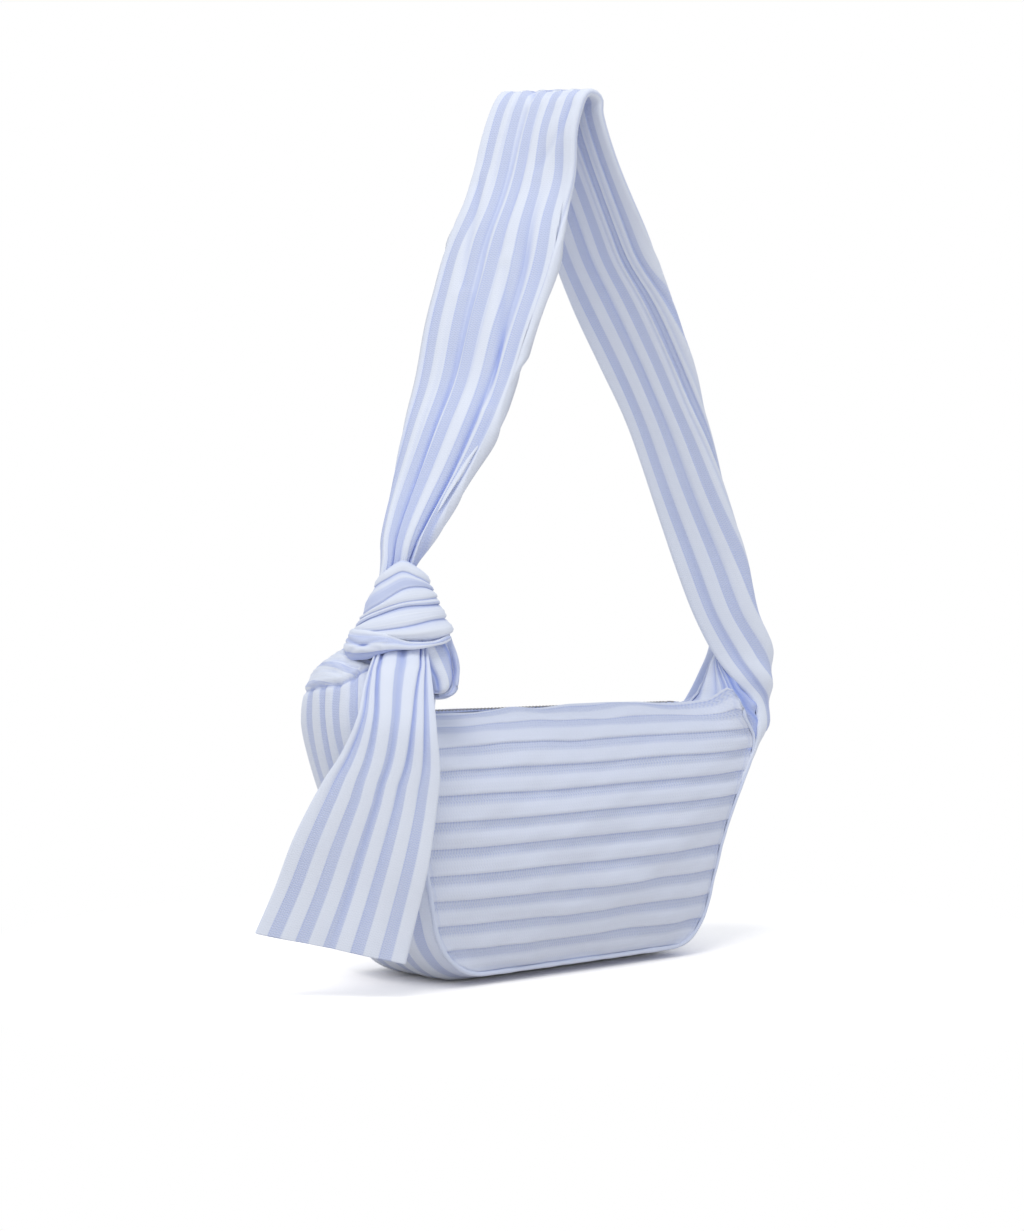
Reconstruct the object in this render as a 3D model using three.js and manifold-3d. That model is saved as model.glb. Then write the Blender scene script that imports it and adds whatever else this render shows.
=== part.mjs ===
// Knit shoulder bag with a knotted strap, all sizes in millimetres.
// X runs along the bag, the front faces -Y, Z is up, and the origin is the middle of the base.
import * as THREE from 'three';
import { mergeVertices } from 'three/addons/utils/BufferGeometryUtils.js';
import Module from 'manifold-3d';

const wasm = await Module();
wasm.setup();

// Bag
const bagHeight = 168; // floor to the edge of the zip
const topHalf = 150; // half length at the top corners
const floorHalf = 85; // half length of the flat bottom
const cornerRadius = 40; // bottom corners, seen from the front
const gussetHalf = 46; // half distance between the two long seams
const seamLift = 8; // bottom seams over the floor
const panelSwell = 14; // how far a filled panel stands out past its seams
const endSwell = 8; // how far the gusset bows out between its seams
const gussetTrim = 3; // gusset's ends stop this far below the top corners
const gussetDraw = 8; // how much each side of the gusset draws in at its ends, clear of the panels' shoulders
const clothThickness = 3;
const liningThickness = 1.2;
const weltRadius = 2;
const clearance = 0.3; // between neighbours

// Zip
const zipHalf = 9; // half width of the gap between the panels that the zip fills
const chainHalf = topHalf - 26; // half length of the toothed part
const zipDrop = 5.5; // how much lower the right end of the teeth lies than the left
const toothPitch = 3;
const toothWidth = 1.1;
const toothReach = 0.55; // how far a tooth passes the middle line
const beadWidth = 1.6; // the solid back of each row of teeth
const chainHeight = 2.6;
const tapeThickness = 1;
const tapeEnd = 4; // tape past the last tooth
const stopLength = 3;
const sliderHalf = 5;
const sliderRest = chainHalf - 12; // the closed slider's distance from the middle, to the left
const plateThickness = 1.4;
const flangeWidth = 1.2;
const earHeight = 3.4;
const earThickness = 1;
const pinRadius = 0.6;
const pullLength = 18;
const pullHalf = 3.2;
const pullThickness = 1.2;

// Strap
const strapThickness = 5; // two layers of knit
const foldedThickness = 4; // where the strap is turned up over the gusset
const gatherThickness = 14; // at the knot, where the whole width is drawn together
const crestHeight = 570;
const crestX = 13; // the top of the loop along the bag
const rootJoin = 50; // the strap leaves the gusset this far below the top corners
const strapFree = 54; // and swings from this far above them
const neckHeight = 36; // gathered strap that stays with the knot

// Knot and tail
const knotInset = 28; // knot's middle, in from the top corner
const knotForward = 12; // knot's middle, in front of the zip
const knotRise = 54; // underside of the wrap over the bag's top edge
const knotDepth = 0.85; // front to back, as a share of its width
const wrapHeight = 42;
const wrapHalf = 31; // half width of the wrap near its foot
const coreRadius = 9;
const coreFoot = 13; // how far the core reaches down between the tab and the tail
const rollRadius = 5;
const rollReach = 27; // radius of the roll's arc round the front of the knot
const loopRadius = 6;
const faceTurn = THREE.MathUtils.degToRad(42); // the knot and tail face the front left corner
const tailLength = 180; // down the middle, from the knot to the hem
const tailTilt = 19; // how much higher the hem's outer corner hangs
const hemDepth = 9;

const knotX = knotInset - topHalf;
const knotBase = bagHeight + knotRise;
const knotTop = knotBase + wrapHeight + clearance;
const lerp = THREE.MathUtils.lerp;

// A smooth curve through rows of numbers
function spline(rows, t) {
  const last = rows.length - 1;
  const place = Math.min(Math.max(t, 0), 1) * last;
  const i = Math.min(Math.floor(place), last - 1);
  const f = place - i;
  const row = (k) => rows[Math.min(Math.max(k, 0), last)];
  const [a, b, c, d] = [row(i - 1), row(i), row(i + 1), row(i + 2)];
  return b.map((start, k) => {
    const rise = c[k] - start;
    const slopeIn = (c[k] - a[k]) / 2;
    const slopeOut = (d[k] - start) / 2;
    const bend = 3 * rise - 2 * slopeIn - slopeOut + f * (slopeIn + slopeOut - 2 * rise);
    return start + f * (slopeIn + f * bend);
  });
}

// A smooth surface through a net of points, along first and across second
function netSurface(rows) {
  return (s, t) => new THREE.Vector3(...spline(rows.map((row) => spline(row, t)), s));
}

// The share along a climbing surface at which its middle reaches a height
function shareAtHeight(surface, height) {
  let low = 0;
  let high = 1;
  for (let i = 0; i < 40; i += 1) {
    const mid = (low + high) / 2;
    if (surface(mid, 0.5).z < height) low = mid;
    else high = mid;
  }
  return low;
}

function stretch(surface, from, to) {
  return (s, t) => surface(lerp(from, to, s), t);
}

// Cloth between an outer and an inner offset of a surface, closed round its rim.
// The offset can be kept square to an axis, so that an end that meets a neighbour stays in line.
const squareToX = (normal) => normal.setX(0);
const squareToZ = (normal) => normal.setZ(0);
const squareToZAtStart = (normal, s) => normal.setZ(normal.z * Math.min(s * 3, 1));

function clothSolid(surface, along, across, outer, inner, turnNormal = (normal) => normal) {
  const step = 1e-3;
  const normalAt = (s, t) => {
    const alongSurface = surface(Math.min(s + step, 1), t).sub(surface(Math.max(s - step, 0), t));
    const acrossSurface = surface(s, Math.min(t + step, 1)).sub(surface(s, Math.max(t - step, 0)));
    return turnNormal(alongSurface.cross(acrossSurface), s).normalize();
  };
  const positions = [];
  for (const offset of [outer, inner]) {
    for (let i = 0; i <= along; i += 1) {
      for (let j = 0; j <= across; j += 1) {
        const s = i / along;
        const t = j / across;
        const distance = typeof offset === 'function' ? offset(s, t) : offset;
        positions.push(...surface(s, t).addScaledVector(normalAt(s, t), distance).toArray());
      }
    }
  }
  const layer = (along + 1) * (across + 1);
  const out = (i, j) => i * (across + 1) + j;
  const back = (i, j) => layer + out(i, j);
  const index = [];
  const quad = (a, b, c, d) => index.push(a, b, c, a, c, d);
  for (let i = 0; i < along; i += 1) {
    for (let j = 0; j < across; j += 1) {
      quad(out(i, j), out(i + 1, j), out(i + 1, j + 1), out(i, j + 1));
      quad(back(i, j), back(i, j + 1), back(i + 1, j + 1), back(i + 1, j));
    }
    quad(out(i, 0), back(i, 0), back(i + 1, 0), out(i + 1, 0));
    quad(out(i, across), out(i + 1, across), back(i + 1, across), back(i, across));
  }
  for (let j = 0; j < across; j += 1) {
    quad(out(0, j), out(0, j + 1), back(0, j + 1), back(0, j));
    quad(out(along, j), back(along, j), back(along, j + 1), out(along, j + 1));
  }
  return indexed(positions, index);
}

function indexed(positions, index) {
  const geometry = new THREE.BufferGeometry();
  geometry.setAttribute('position', new THREE.Float32BufferAttribute(positions, 3));
  geometry.setIndex(index);
  geometry.computeVertexNormals();
  return geometry;
}

// A solid through rings of points, capped at both ends
function loft(rings) {
  const count = rings[0].length;
  const positions = rings.flat().flatMap((point) => point.toArray());
  const index = [];
  for (let i = 0; i + 1 < rings.length; i += 1) {
    for (let j = 0; j < count; j += 1) {
      const k = (j + 1) % count;
      const [a, b, c, d] = [i * count + j, i * count + k, (i + 1) * count + k, (i + 1) * count + j];
      index.push(a, b, c, a, c, d);
    }
  }
  const top = (rings.length - 1) * count;
  for (let j = 1; j + 1 < count; j += 1) {
    index.push(0, j + 1, j);
    index.push(top, top + j, top + j + 1);
  }
  return indexed(positions, index);
}

function roundSection(radius, sides) {
  const points = [];
  for (let i = 0; i < sides; i += 1) {
    const angle = (i / sides) * 2 * Math.PI;
    points.push(new THREE.Vector2(radius * Math.cos(angle), radius * Math.sin(angle)));
  }
  return new THREE.Shape(points);
}

function tube(curve, radius, sides, steps) {
  return new THREE.ExtrudeGeometry(roundSection(radius, sides), { steps, extrudePath: curve });
}

// A turned solid about the vertical, from radius and height pairs
function turned(profile, segments) {
  const points = profile.map(([radius, height]) => new THREE.Vector2(radius, height));
  return new THREE.LatheGeometry(points, segments).rotateX(Math.PI / 2);
}

function box(x0, x1, y0, y1, z0, z1) {
  const geometry = new THREE.BoxGeometry(x1 - x0, y1 - y0, z1 - z0);
  return geometry.translate((x0 + x1) / 2, (y0 + y1) / 2, (z0 + z1) / 2);
}

// Joined and cut solids
function solid(geometry) {
  const bare = geometry.clone();
  bare.deleteAttribute('normal');
  bare.deleteAttribute('uv');
  const merged = mergeVertices(bare);
  const vertProperties = new Float32Array(merged.attributes.position.array);
  const triVerts = new Uint32Array(merged.index.array);
  return new wasm.Manifold(new wasm.Mesh({ numProp: 3, vertProperties, triVerts }));
}

function geometryOf(manifold) {
  const mesh = manifold.getMesh();
  return indexed(Array.from(mesh.vertProperties), Array.from(mesh.triVerts));
}

// The long seam, in the XZ plane
const cornerZ = seamLift + cornerRadius;
const cornerToTop = new THREE.Vector2(topHalf - floorHalf, bagHeight - cornerZ);
const sideTurn = cornerToTop.angle() - Math.acos(cornerRadius / cornerToTop.length());
const arcLength = cornerRadius * (sideTurn + Math.PI / 2);
const sideLength = Math.sqrt(cornerToTop.lengthSq() - cornerRadius ** 2);
const seamHalf = floorHalf + arcLength + sideLength;

// Place and outward direction at a signed distance along the seam from the middle of the bottom
function seamAt(distance) {
  const side = distance < 0 ? -1 : 1;
  const run = Math.abs(distance);
  if (run <= floorHalf) return { x: distance, z: seamLift, outX: 0, outZ: -1 };
  const angle = Math.min((run - floorHalf) / cornerRadius - Math.PI / 2, sideTurn);
  const rise = Math.max(run - floorHalf - arcLength, 0);
  const x = floorHalf + cornerRadius * Math.cos(angle) - rise * Math.sin(sideTurn);
  const z = cornerZ + cornerRadius * Math.sin(angle) + rise * Math.cos(sideTurn);
  return { x: side * x, z, outX: side * Math.cos(angle), outZ: Math.sin(angle) };
}

// Half length between the seams at a height, less an inset all round
function halfLengthAt(z, inset) {
  const radius = cornerRadius - inset;
  const up = z - cornerZ;
  const joinUp = radius * Math.sin(sideTurn);
  if (up < joinUp) return floorHalf + Math.sqrt(Math.max(radius ** 2 - up ** 2, 0));
  return floorHalf + radius * Math.cos(sideTurn) - (up - joinUp) * Math.tan(sideTurn);
}

// Panel's section at mid length: share of the swell, share of the way in to the zip, share of the height
const panelSection = [
  [0, 0, 0],
  [0.5, 0, 0.0875],
  [0.86, 0, 0.231],
  [1, 0, 0.356],
  [1, 0.02, 0.481],
  [1, 0.08, 0.606],
  [1, 0.176, 0.7125],
  [1, 0.294, 0.806],
  [1, 0.47, 0.894],
  [1, 0.706, 0.9625],
  [1, 1, 1],
];
const bellyPower = 2.6; // how squarely a panel's swell falls off to its ends
const mouthPower = 11; // and how squarely its top edge does
const zipTurn = Math.atan2(zipDrop, 2 * chainHalf);
const cornerPower = 8; // how squarely the top edge comes back to the height of its corners

// Height of the top edge over its corners, which follows the tipped zip
function edgeRise(x) {
  return -x * Math.tan(zipTurn) * (1 - Math.abs(x / topHalf) ** cornerPower);
}

function panelPoint(side, u, v, inset) {
  const [swell, close, rise] = spline(panelSection, v);
  const z = lerp(seamLift, bagHeight, rise);
  const middle = lerp(gussetHalf + panelSwell * swell, zipHalf, close);
  const x = u * halfLengthAt(z, inset);
  const fall = Math.abs(x / halfLengthAt(z, 0)) ** lerp(bellyPower, mouthPower, v ** 4);
  return new THREE.Vector3(x, side * lerp(middle, gussetHalf, fall), z + edgeRise(x) * rise ** 3);
}

function panelSurface(side, inset) {
  const start = inset > 0 ? shareAtHeight((v) => panelPoint(side, 0, v, 0), seamLift + inset) : 0;
  return (s, t) => panelPoint(side, side * lerp(1, -1, s), lerp(start, 1, t), inset);
}

function panel(side) {
  return clothSolid(panelSurface(side, 0), 22, 12, 0, -clothThickness, squareToX);
}

const gussetInner = gussetHalf - clothThickness - clearance;

// Gusset, from the top of one end round the bottom to the top of the other
function gussetSurface(trim, inner) {
  return (s, t) => {
    const seam = seamAt(lerp(trim - seamHalf, seamHalf - trim, s));
    const down = Math.max(-seam.outZ, 0) ** 2;
    const share = Math.abs(lerp(-1, 1, t));
    const bow = lerp(endSwell, seamLift, down) * Math.min(1.08 * (1 - share ** lerp(2, 4, down)), 1);
    const half = inner - gussetDraw * Math.max((seam.z - cornerZ) / (bagHeight - cornerZ), 0) ** 3;
    return new THREE.Vector3(seam.x + seam.outX * bow, lerp(half, -half, t), seam.z + seam.outZ * bow);
  };
}

function gusset() {
  return clothSolid(gussetSurface(gussetTrim, gussetInner), 38, 8, 0, -clothThickness);
}

// Lining, just inside the cloth
const liningGap = 1.3;
const liningOffset = -clothThickness - liningGap;
const liningInset = clothThickness + liningThickness + 2 * liningGap;

function liningPanel(side) {
  const surface = panelSurface(side, liningInset);
  return clothSolid(surface, 22, 12, liningOffset, liningOffset - liningThickness, squareToX);
}

function liningGusset() {
  const inner = gussetInner - liningGap;
  return clothSolid(gussetSurface(gussetTrim, inner), 38, 4, liningOffset, liningOffset - liningThickness);
}

class SeamCurve extends THREE.Curve {
  constructor(side) {
    super();
    this.side = side;
  }

  getPoint(t, target = new THREE.Vector3()) {
    const seam = seamAt(lerp(-seamHalf, seamHalf, t));
    const out = (weltRadius + clearance) * Math.SQRT1_2;
    return target.set(seam.x + seam.outX * out, this.side * (gussetHalf + out), seam.z + seam.outZ * out);
  }
}

function welt(side) {
  return tube(new SeamCurve(side), weltRadius, 6, 52);
}

// Zip: two combs of teeth that mesh along the middle line
const beadInner = toothReach + clearance;
const beadOuter = beadInner + beadWidth;
const chainZ = bagHeight - 0.4;
const chainTop = chainZ + chainHeight / 2;
const tapeTop = chainZ + tapeThickness / 2;

function teeth(side) {
  const outline = [
    [-chainHalf, beadOuter],
    [chainHalf, beadOuter],
    [chainHalf, beadInner],
  ];
  const start = side > 0 ? 0 : toothPitch / 2;
  for (let x = chainHalf - toothPitch - start; x > toothPitch - chainHalf; x -= toothPitch) {
    outline.push([x + toothWidth / 2, beadInner], [x + toothWidth / 2, -toothReach]);
    outline.push([x - toothWidth / 2, -toothReach], [x - toothWidth / 2, beadInner]);
  }
  outline.push([-chainHalf, beadInner]);
  const shape = new THREE.Shape(outline.map(([x, y]) => new THREE.Vector2(x, side * y)));
  const comb = new THREE.ExtrudeGeometry(shape, { depth: chainHeight, bevelEnabled: false });
  return comb.translate(0, 0, chainZ - chainHeight / 2);
}

function tape(side) {
  const edges = [side * (beadOuter + clearance), side * (zipHalf - 3 * clearance)].sort((a, b) => a - b);
  const end = chainHalf + tapeEnd;
  return box(-end, end, edges[0], edges[1], tapeTop - tapeThickness, tapeTop);
}

function zipStop(side) {
  const near = side * (chainHalf + clearance);
  const far = near + side * stopLength;
  const half = chainHeight / 2;
  return box(Math.min(near, far), Math.max(near, far), -beadOuter, beadOuter, chainZ - half, chainZ + half);
}

// Slider: a plate over the chain, a flange down each side of the teeth, and two ears with the pull's pin.
// The wedge that parts the teeth is left out, because the teeth here stay meshed.
const plateBottom = chainTop + clearance;
const plateTop = plateBottom + plateThickness;
const barrelRadius = pinRadius + clearance + 0.6;
const pinZ = plateTop + barrelRadius + clearance;
const earInner = pullThickness / 2 + 2 * clearance;

function slider() {
  const flangeInner = beadOuter + clearance;
  const flangeOuter = flangeInner + flangeWidth;
  let made = solid(box(-sliderHalf, sliderHalf, -flangeOuter, flangeOuter, plateBottom, plateTop));
  for (const side of [-1, 1]) {
    const flange = [side * flangeInner, side * flangeOuter].sort((a, b) => a - b);
    const lip = box(-sliderHalf, sliderHalf, flange[0], flange[1], tapeTop + clearance, plateTop - 0.2);
    const ear = [side * earInner, side * (earInner + earThickness)].sort((a, b) => a - b);
    const lug = box(-barrelRadius, barrelRadius, ear[0], ear[1], plateTop - 0.2, plateTop + earHeight);
    made = made.add(solid(lip)).add(solid(lug));
  }
  const pin = new THREE.CylinderGeometry(pinRadius, pinRadius, 2 * earInner + earThickness, 12);
  return geometryOf(made.add(solid(pin.translate(0, 0, pinZ))));
}

// Pull: a barrel round the pin and a flat tab with a hole, lying back along the closed teeth
function pull() {
  const width = pullThickness;
  const barrel = new THREE.CylinderGeometry(barrelRadius, barrelRadius, width, 16).translate(0, 0, pinZ);
  const bore = new THREE.CylinderGeometry(pinRadius + clearance, pinRadius + clearance, 2 * width, 16);
  const low = pinZ - pullThickness / 2;
  const high = pinZ + pullThickness / 2;
  const arm = box(pinRadius + clearance, 2 * barrelRadius + 1, -width / 2, width / 2, low, high);
  const tab = box(2 * barrelRadius, pullLength, -pullHalf, pullHalf, low, high);
  const holeStart = pullLength - 2.5 * pullHalf;
  const holeEnd = pullLength - pullHalf;
  const hole = box(holeStart, holeEnd, -pullHalf / 2, pullHalf / 2, low - 1, high + 1);
  const flat = solid(arm).add(solid(tab)).subtract(solid(hole));
  return geometryOf(flat.add(solid(barrel)).subtract(solid(bore.translate(0, 0, pinZ))));
}

// Gathered cloth over one end of the zip, from the top corners up to a point
const gatherSeat = 0.97; // share of the half length where it rests on the top edges
const gatherRise = 29; // height of its point over the top edges
const gatherGap = 2; // from the end of the zip's tape
const gatherInset = 5; // its foot's corners, in from the seams
const gatherTips = { left: [12 - topHalf, 0], right: [topHalf + 2, -7] };

function endGather(side, [apexX, apexY]) {
  const end = chainHalf + tapeEnd + gatherGap;
  const corner = gussetHalf - gatherInset;
  const apexZ = bagHeight + gatherRise;
  const foot = [
    [end, 0],
    [lerp(end, topHalf, 0.6), -corner * 0.6],
    [topHalf - 2, -corner],
    [topHalf, -corner * 0.6],
    [topHalf + 1, 0],
    [topHalf, corner * 0.6],
    [topHalf - 2, corner],
    [lerp(end, topHalf, 0.6), corner * 0.6],
  ];
  const footZ = bagHeight + 2 * clearance + Math.min(edgeRise(side * topHalf * gatherSeat), 0);
  const ordered = side > 0 ? foot : foot.slice().reverse();
  const rings = [0, 0.2, 0.45, 0.7, 1].map((t) => {
    const shrink = 1 - 0.93 * t ** 0.8;
    return ordered.map(([x, y]) => new THREE.Vector3(
      lerp(apexX, side * x, shrink),
      lerp(apexY, y, shrink),
      lerp(footZ, apexZ, t),
    ));
  });
  return loft(rings);
}

// The nets below are drawn for seams this far from the middle, and follow the real distance
const netHalf = 46;
const netDepth = (y) => (y * gussetHalf) / netHalf;

// Left tab: the gusset's left end, drawn up, over and into the knot.
// Offsets from the top left corner, front edge to back edge.
const tabNet = [
  [[6.5, -42, -50], [0.7, -20, -50], [-0.8, 0, -50], [0.7, 20, -50], [6.5, 42, -50]],
  [[-2, -43, -18], [-10, -22, -17], [-12, 0, -16], [-10, 22, -16], [-5, 43, -18]],
  [[-4, -36, 4], [-13, -16, 7], [-15, 6, 8], [-13, 24, 7], [-9, 41, 5]],
  [[0, -25, 21], [-8, -8, 26], [-10, 8, 28], [-9, 23, 27], [-5, 36, 23]],
  [[7, -17, 30], [2, -4, 36], [1, 8, 39], [0, 17, 37], [2, 27, 33]],
  [[15, -11, 35], [13, -3, 41], [13, 4, 44], [12, 11, 43], [12, 17, 38]],
  [[18, -15.5, 42], [17.5, -8.5, 46], [20.5, -4.5, 48], [23.5, -3, 46], [25.5, -1.5, 43]],
].map((row, place) => row.map(([x, y, z]) => [
  x - topHalf,
  netDepth(y),
  bagHeight + (place === 0 ? -rootJoin : z),
]));

function leftTab() {
  return clothSolid(netSurface(tabNet), 16, 8, foldedThickness / 2, -foldedThickness / 2);
}

// Right end of the strap. The lower rows lie on the bag's end and wrap its front corner, as offsets from the
// top right corner. The upper rows climb to the crest, as offsets from the line that joins the two.
const rootRows = [
  [-rootJoin, [-6.5, -42], [-0.7, -20], [0.8, 0], [-0.7, 20], [-6.5, 42]],
  [-33, [6, -50], [15, -31], [18, -6], [15, 20], [7, 44]],
  [-19, [11, -48], [22, -38], [25, -12], [22, 14], [14, 38]],
  [-3, [18, -38], [27, -35], [30, -12], [28, 10], [22, 31]],
  [14, [6, -28], [26, -40], [34, -22], [34, 1], [27, 24]],
  [32, [-1.5, -17], [17, -32], [32, -36], [34, -11], [28, 15]],
].map(([up, ...row]) => row.map(([x, y]) => [topHalf + x, netDepth(y), bagHeight + up]));
const climbRows = [
  [0.147, [7.6, -9], [24, -24], [41, -37], [47, -18], [47, 8]],
  [0.224, [7.7, -3], [25.7, -19], [43.7, -34], [51.7, -17], [52.7, 5]],
  [0.291, [9.9, 3], [27, -15], [43, -31], [53, -18], [55, 2]],
  [0.403, [10, 10], [26, -8], [41, -25], [53, -23], [57, -3]],
  [0.48, [9, 15], [24, -4], [39, -23], [50, -25], [56, -8]],
  [0.567, [5, 22], [20, 3], [34, -17], [46, -29], [54, -14]],
  [0.667, [1, 30], [14, 9], [26, -12], [37, -31], [46, -21]],
  [0.764, [1, 36], [10, 14], [19, -8], [26, -30], [32, -36]],
  [0.896, [1, 40], [4, 20], [7, -1], [10, -22], [12, -42]],
  [0.987, [5.5, 43], [5.5, 21], [5.5, 0], [5.5, -21], [5.5, -43]],
  [0.998, [3.2, 43], [3.2, 21], [3.2, 0], [3.2, -21], [3.2, -43]],
  [0.9997, [1.4, 43], [1.4, 21], [1.4, 0], [1.4, -21], [1.4, -43]],
  [1, [0.4, 43], [0.4, 21], [0.4, 0], [0.4, -21], [0.4, -43]],
].map(([share, ...row]) => row.map(([x, y]) => [
  lerp(topHalf, crestX, share) + x,
  netDepth(y),
  lerp(bagHeight, crestHeight, share),
]));
const rightSurface = netSurface([...rootRows, ...climbRows]);
const rootEnd = shareAtHeight(rightSurface, bagHeight + strapFree);
const rightStart = shareAtHeight(rightSurface, bagHeight + strapFree + clearance);

function strapRoot() {
  const half = foldedThickness / 2;
  return clothSolid(stretch(rightSurface, 0, rootEnd), 14, 12, half, -half, squareToZ);
}

function strapRight() {
  const half = (s) => lerp(foldedThickness, strapThickness, Math.min(s * 3, 1)) / 2;
  const run = stretch(rightSurface, rightStart, 1);
  return clothSolid(run, 30, 8, half, (s) => -half(s), squareToZAtStart);
}

// Left side of the strap, from the knot to the crest, as offsets from the line that joins the two
const leftNet = [
  [0, [-9, 11], [-1, 0], [9, -11]],
  [0.059, [-5, 20.6], [-1, 0], [10, -17.4]],
  [0.164, [0, 31], [3, 1], [15, -26]],
  [0.283, [1, 37], [5, 1], [19, -33]],
  [0.398, [2, 40.6], [7, 1], [20, -36]],
  [0.553, [-2, 42.7], [3, 1], [16, -39]],
  [0.671, [-4, 44], [1, 1], [12, -41]],
  [0.796, [-4, 43], [0, 1], [8, -42]],
  [0.9, [-6, 43], [-4, 0.6], [-1.6, -42.4]],
  [0.984, [-5, 43], [-5, 0], [-5, -43]],
  [0.9975, [-3, 43], [-3, 0], [-3, -43]],
  [0.9996, [-1.4, 43], [-1.4, 0], [-1.4, -43]],
  [1, [-0.4, 43], [-0.4, 0], [-0.4, -43]],
].map(([share, ...row]) => row.map(([x, y]) => [
  lerp(knotX + 1, crestX, share) + x,
  lerp(-knotForward / 2, 0, share) + netDepth(y),
  lerp(knotTop, crestHeight, share),
]));
const leftSurface = netSurface(leftNet);
const neckEnd = shareAtHeight(leftSurface, knotTop + neckHeight);
const leftStart = shareAtHeight(leftSurface, knotTop + neckHeight + clearance);

// Half thickness of the left side, which fills out as it is gathered towards the knot
function gatherHalf(from, to) {
  return (s) => {
    const rise = (leftSurface(lerp(from, to, s), 0.5).z - knotTop) / (crestHeight - knotTop);
    return lerp(gatherThickness, strapThickness, Math.min(rise / 0.4, 1) ** 0.7) / 2;
  };
}

function strapLeft(from, to, steps, turnNormal) {
  const half = gatherHalf(from, to);
  return clothSolid(stretch(leftSurface, from, to), steps, 8, half, (s) => -half(s), turnNormal);
}

// Knot, in its own frame: x across as the knot faces, y to its back
const inDepth = (geometry) => geometry.scale(1, knotDepth, 1);

function knotCore() {
  const top = wrapHeight - clearance;
  return inDepth(turned([
    [0, -coreFoot],
    [coreRadius * 0.7, -coreFoot],
    [coreRadius, -coreFoot * 0.7],
    [coreRadius, top - 2],
    [coreRadius * 0.8, top],
    [0, top],
  ], 14));
}

// Wrap's outside, from its foot up: share of the half width, share of the height
const wrapOutline = [
  [0.85, 0],
  [1, 0.07],
  [0.93, 0.19],
  [0.8, 0.31],
  [0.7, 0.48],
  [0.56, 0.69],
  [0.45, 0.88],
];

function knotWrap() {
  const inner = coreRadius + clearance / knotDepth;
  return inDepth(turned([
    [inner, 0],
    ...wrapOutline.map(([wide, high]) => [wide * wrapHalf, high * wrapHeight]),
    [inner + 2, wrapHeight],
    [inner, wrapHeight],
    [inner, 0],
  ], 24));
}

function knotRoll() {
  const points = [];
  const height = -rollRadius - clearance;
  for (let degrees = 208; degrees <= 334; degrees += 18) {
    const angle = THREE.MathUtils.degToRad(degrees);
    const across = rollReach * Math.cos(angle);
    points.push(new THREE.Vector3(across, rollReach * knotDepth * Math.sin(angle), height));
  }
  return tube(new THREE.CatmullRomCurve3(points), rollRadius, 8, 20);
}

// Loop of cloth that hangs out under the right of the knot
const loopPath = [
  [20, 14, -loopRadius - clearance],
  [28, 4, -7.5],
  [34, -5, -13],
  [36, -13, -21],
  [33, -19, -30],
  [26, -22, -35],
  [21, -17, -30],
  [15, -10, -22],
];

function knotLoop() {
  const curve = new THREE.CatmullRomCurve3(loopPath.map((point) => new THREE.Vector3(...point)));
  return tube(curve, loopRadius, 8, 24);
}

// Tail, in the knot's directions from the front left top corner: outer edge, inner edge, depth, share down
const tailRows = [
  [-15, 10, 20, 0],
  [-22, 15, 2.5, 0.127],
  [-28, 21, -10, 0.241],
  [-38, 23, -11, 0.366],
  [-51, 20.5, -11, 0.487],
  [-67, 15, -10, 0.67],
  [-79, 8, -8, 0.848],
  [-91, 1, -7.5, 1],
];
const tailTop = knotBase - 2 * rollRadius - 2 * clearance;
const foldCount = 2.5; // pleats across the tail
const foldDepth = 3;
const hemShare = 1 - hemDepth / tailLength;

function tailSurface(s, t) {
  const [outerX, innerX, depth, down] = spline(tailRows, s);
  const tilt = tailTilt * (1 - (1 - down) ** 2);
  const fold = foldDepth * (1 - 0.8 * down) * Math.min(down * 8, 1);
  return new THREE.Vector3(
    lerp(outerX, innerX, t),
    depth - fold * Math.cos(2 * Math.PI * foldCount * t),
    tailTop - down * tailLength + tilt * (0.5 - t),
  );
}

function tailDown(share) {
  let low = 0;
  let high = 1;
  for (let i = 0; i < 40; i += 1) {
    const mid = (low + high) / 2;
    if (spline(tailRows, mid)[3] < share) low = mid;
    else high = mid;
  }
  return low;
}

function tailCloth(from, to, steps) {
  const start = tailDown(from);
  const end = tailDown(to);
  const half = (s) => lerp(3.5, 2, Math.min(lerp(start, end, s) * 3, 1));
  return clothSolid(stretch(tailSurface, start, end), steps, 14, half, (s) => -half(s), squareToZ);
}

// Finishes
const knit = { color: 0xc9d3f0, roughness: 0.95, metalness: 0 };
const welted = { color: 0xdfe5f6, roughness: 0.9, metalness: 0 };
const liningCloth = { color: 0xd5d9e6, roughness: 0.8, metalness: 0 };
const tapeCloth = { color: 0xb9c4e4, roughness: 0.85, metalness: 0 };
const metal = { color: 0x8f9299, roughness: 0.35, metalness: 1 };

function piece(name, geometry, finish) {
  const mesh = new THREE.Mesh(geometry, new THREE.MeshStandardMaterial(finish));
  mesh.name = name;
  return mesh;
}

function placed(group, x, y, z, turn) {
  group.position.set(x, y, z);
  group.rotation.z = turn;
  return group;
}

const bag = new THREE.Group();
bag.add(
  piece('front_panel', panel(-1), knit),
  piece('back_panel', panel(1), knit),
  piece('gusset_band', gusset(), knit),
  piece('front_seam_welt', welt(-1), welted),
  piece('back_seam_welt', welt(1), welted),
  piece('lining_front', liningPanel(-1), liningCloth),
  piece('lining_back', liningPanel(1), liningCloth),
  piece('lining_gusset', liningGusset(), liningCloth),
  piece('end_gather_left', endGather(-1, gatherTips.left), knit),
  piece('end_gather_right', endGather(1, gatherTips.right), knit),
  piece('left_tab', leftTab(), knit),
  piece('strap_root_right', strapRoot(), knit),
  piece('knot_neck', strapLeft(0, neckEnd, 6, squareToZ), knit),
);

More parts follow.
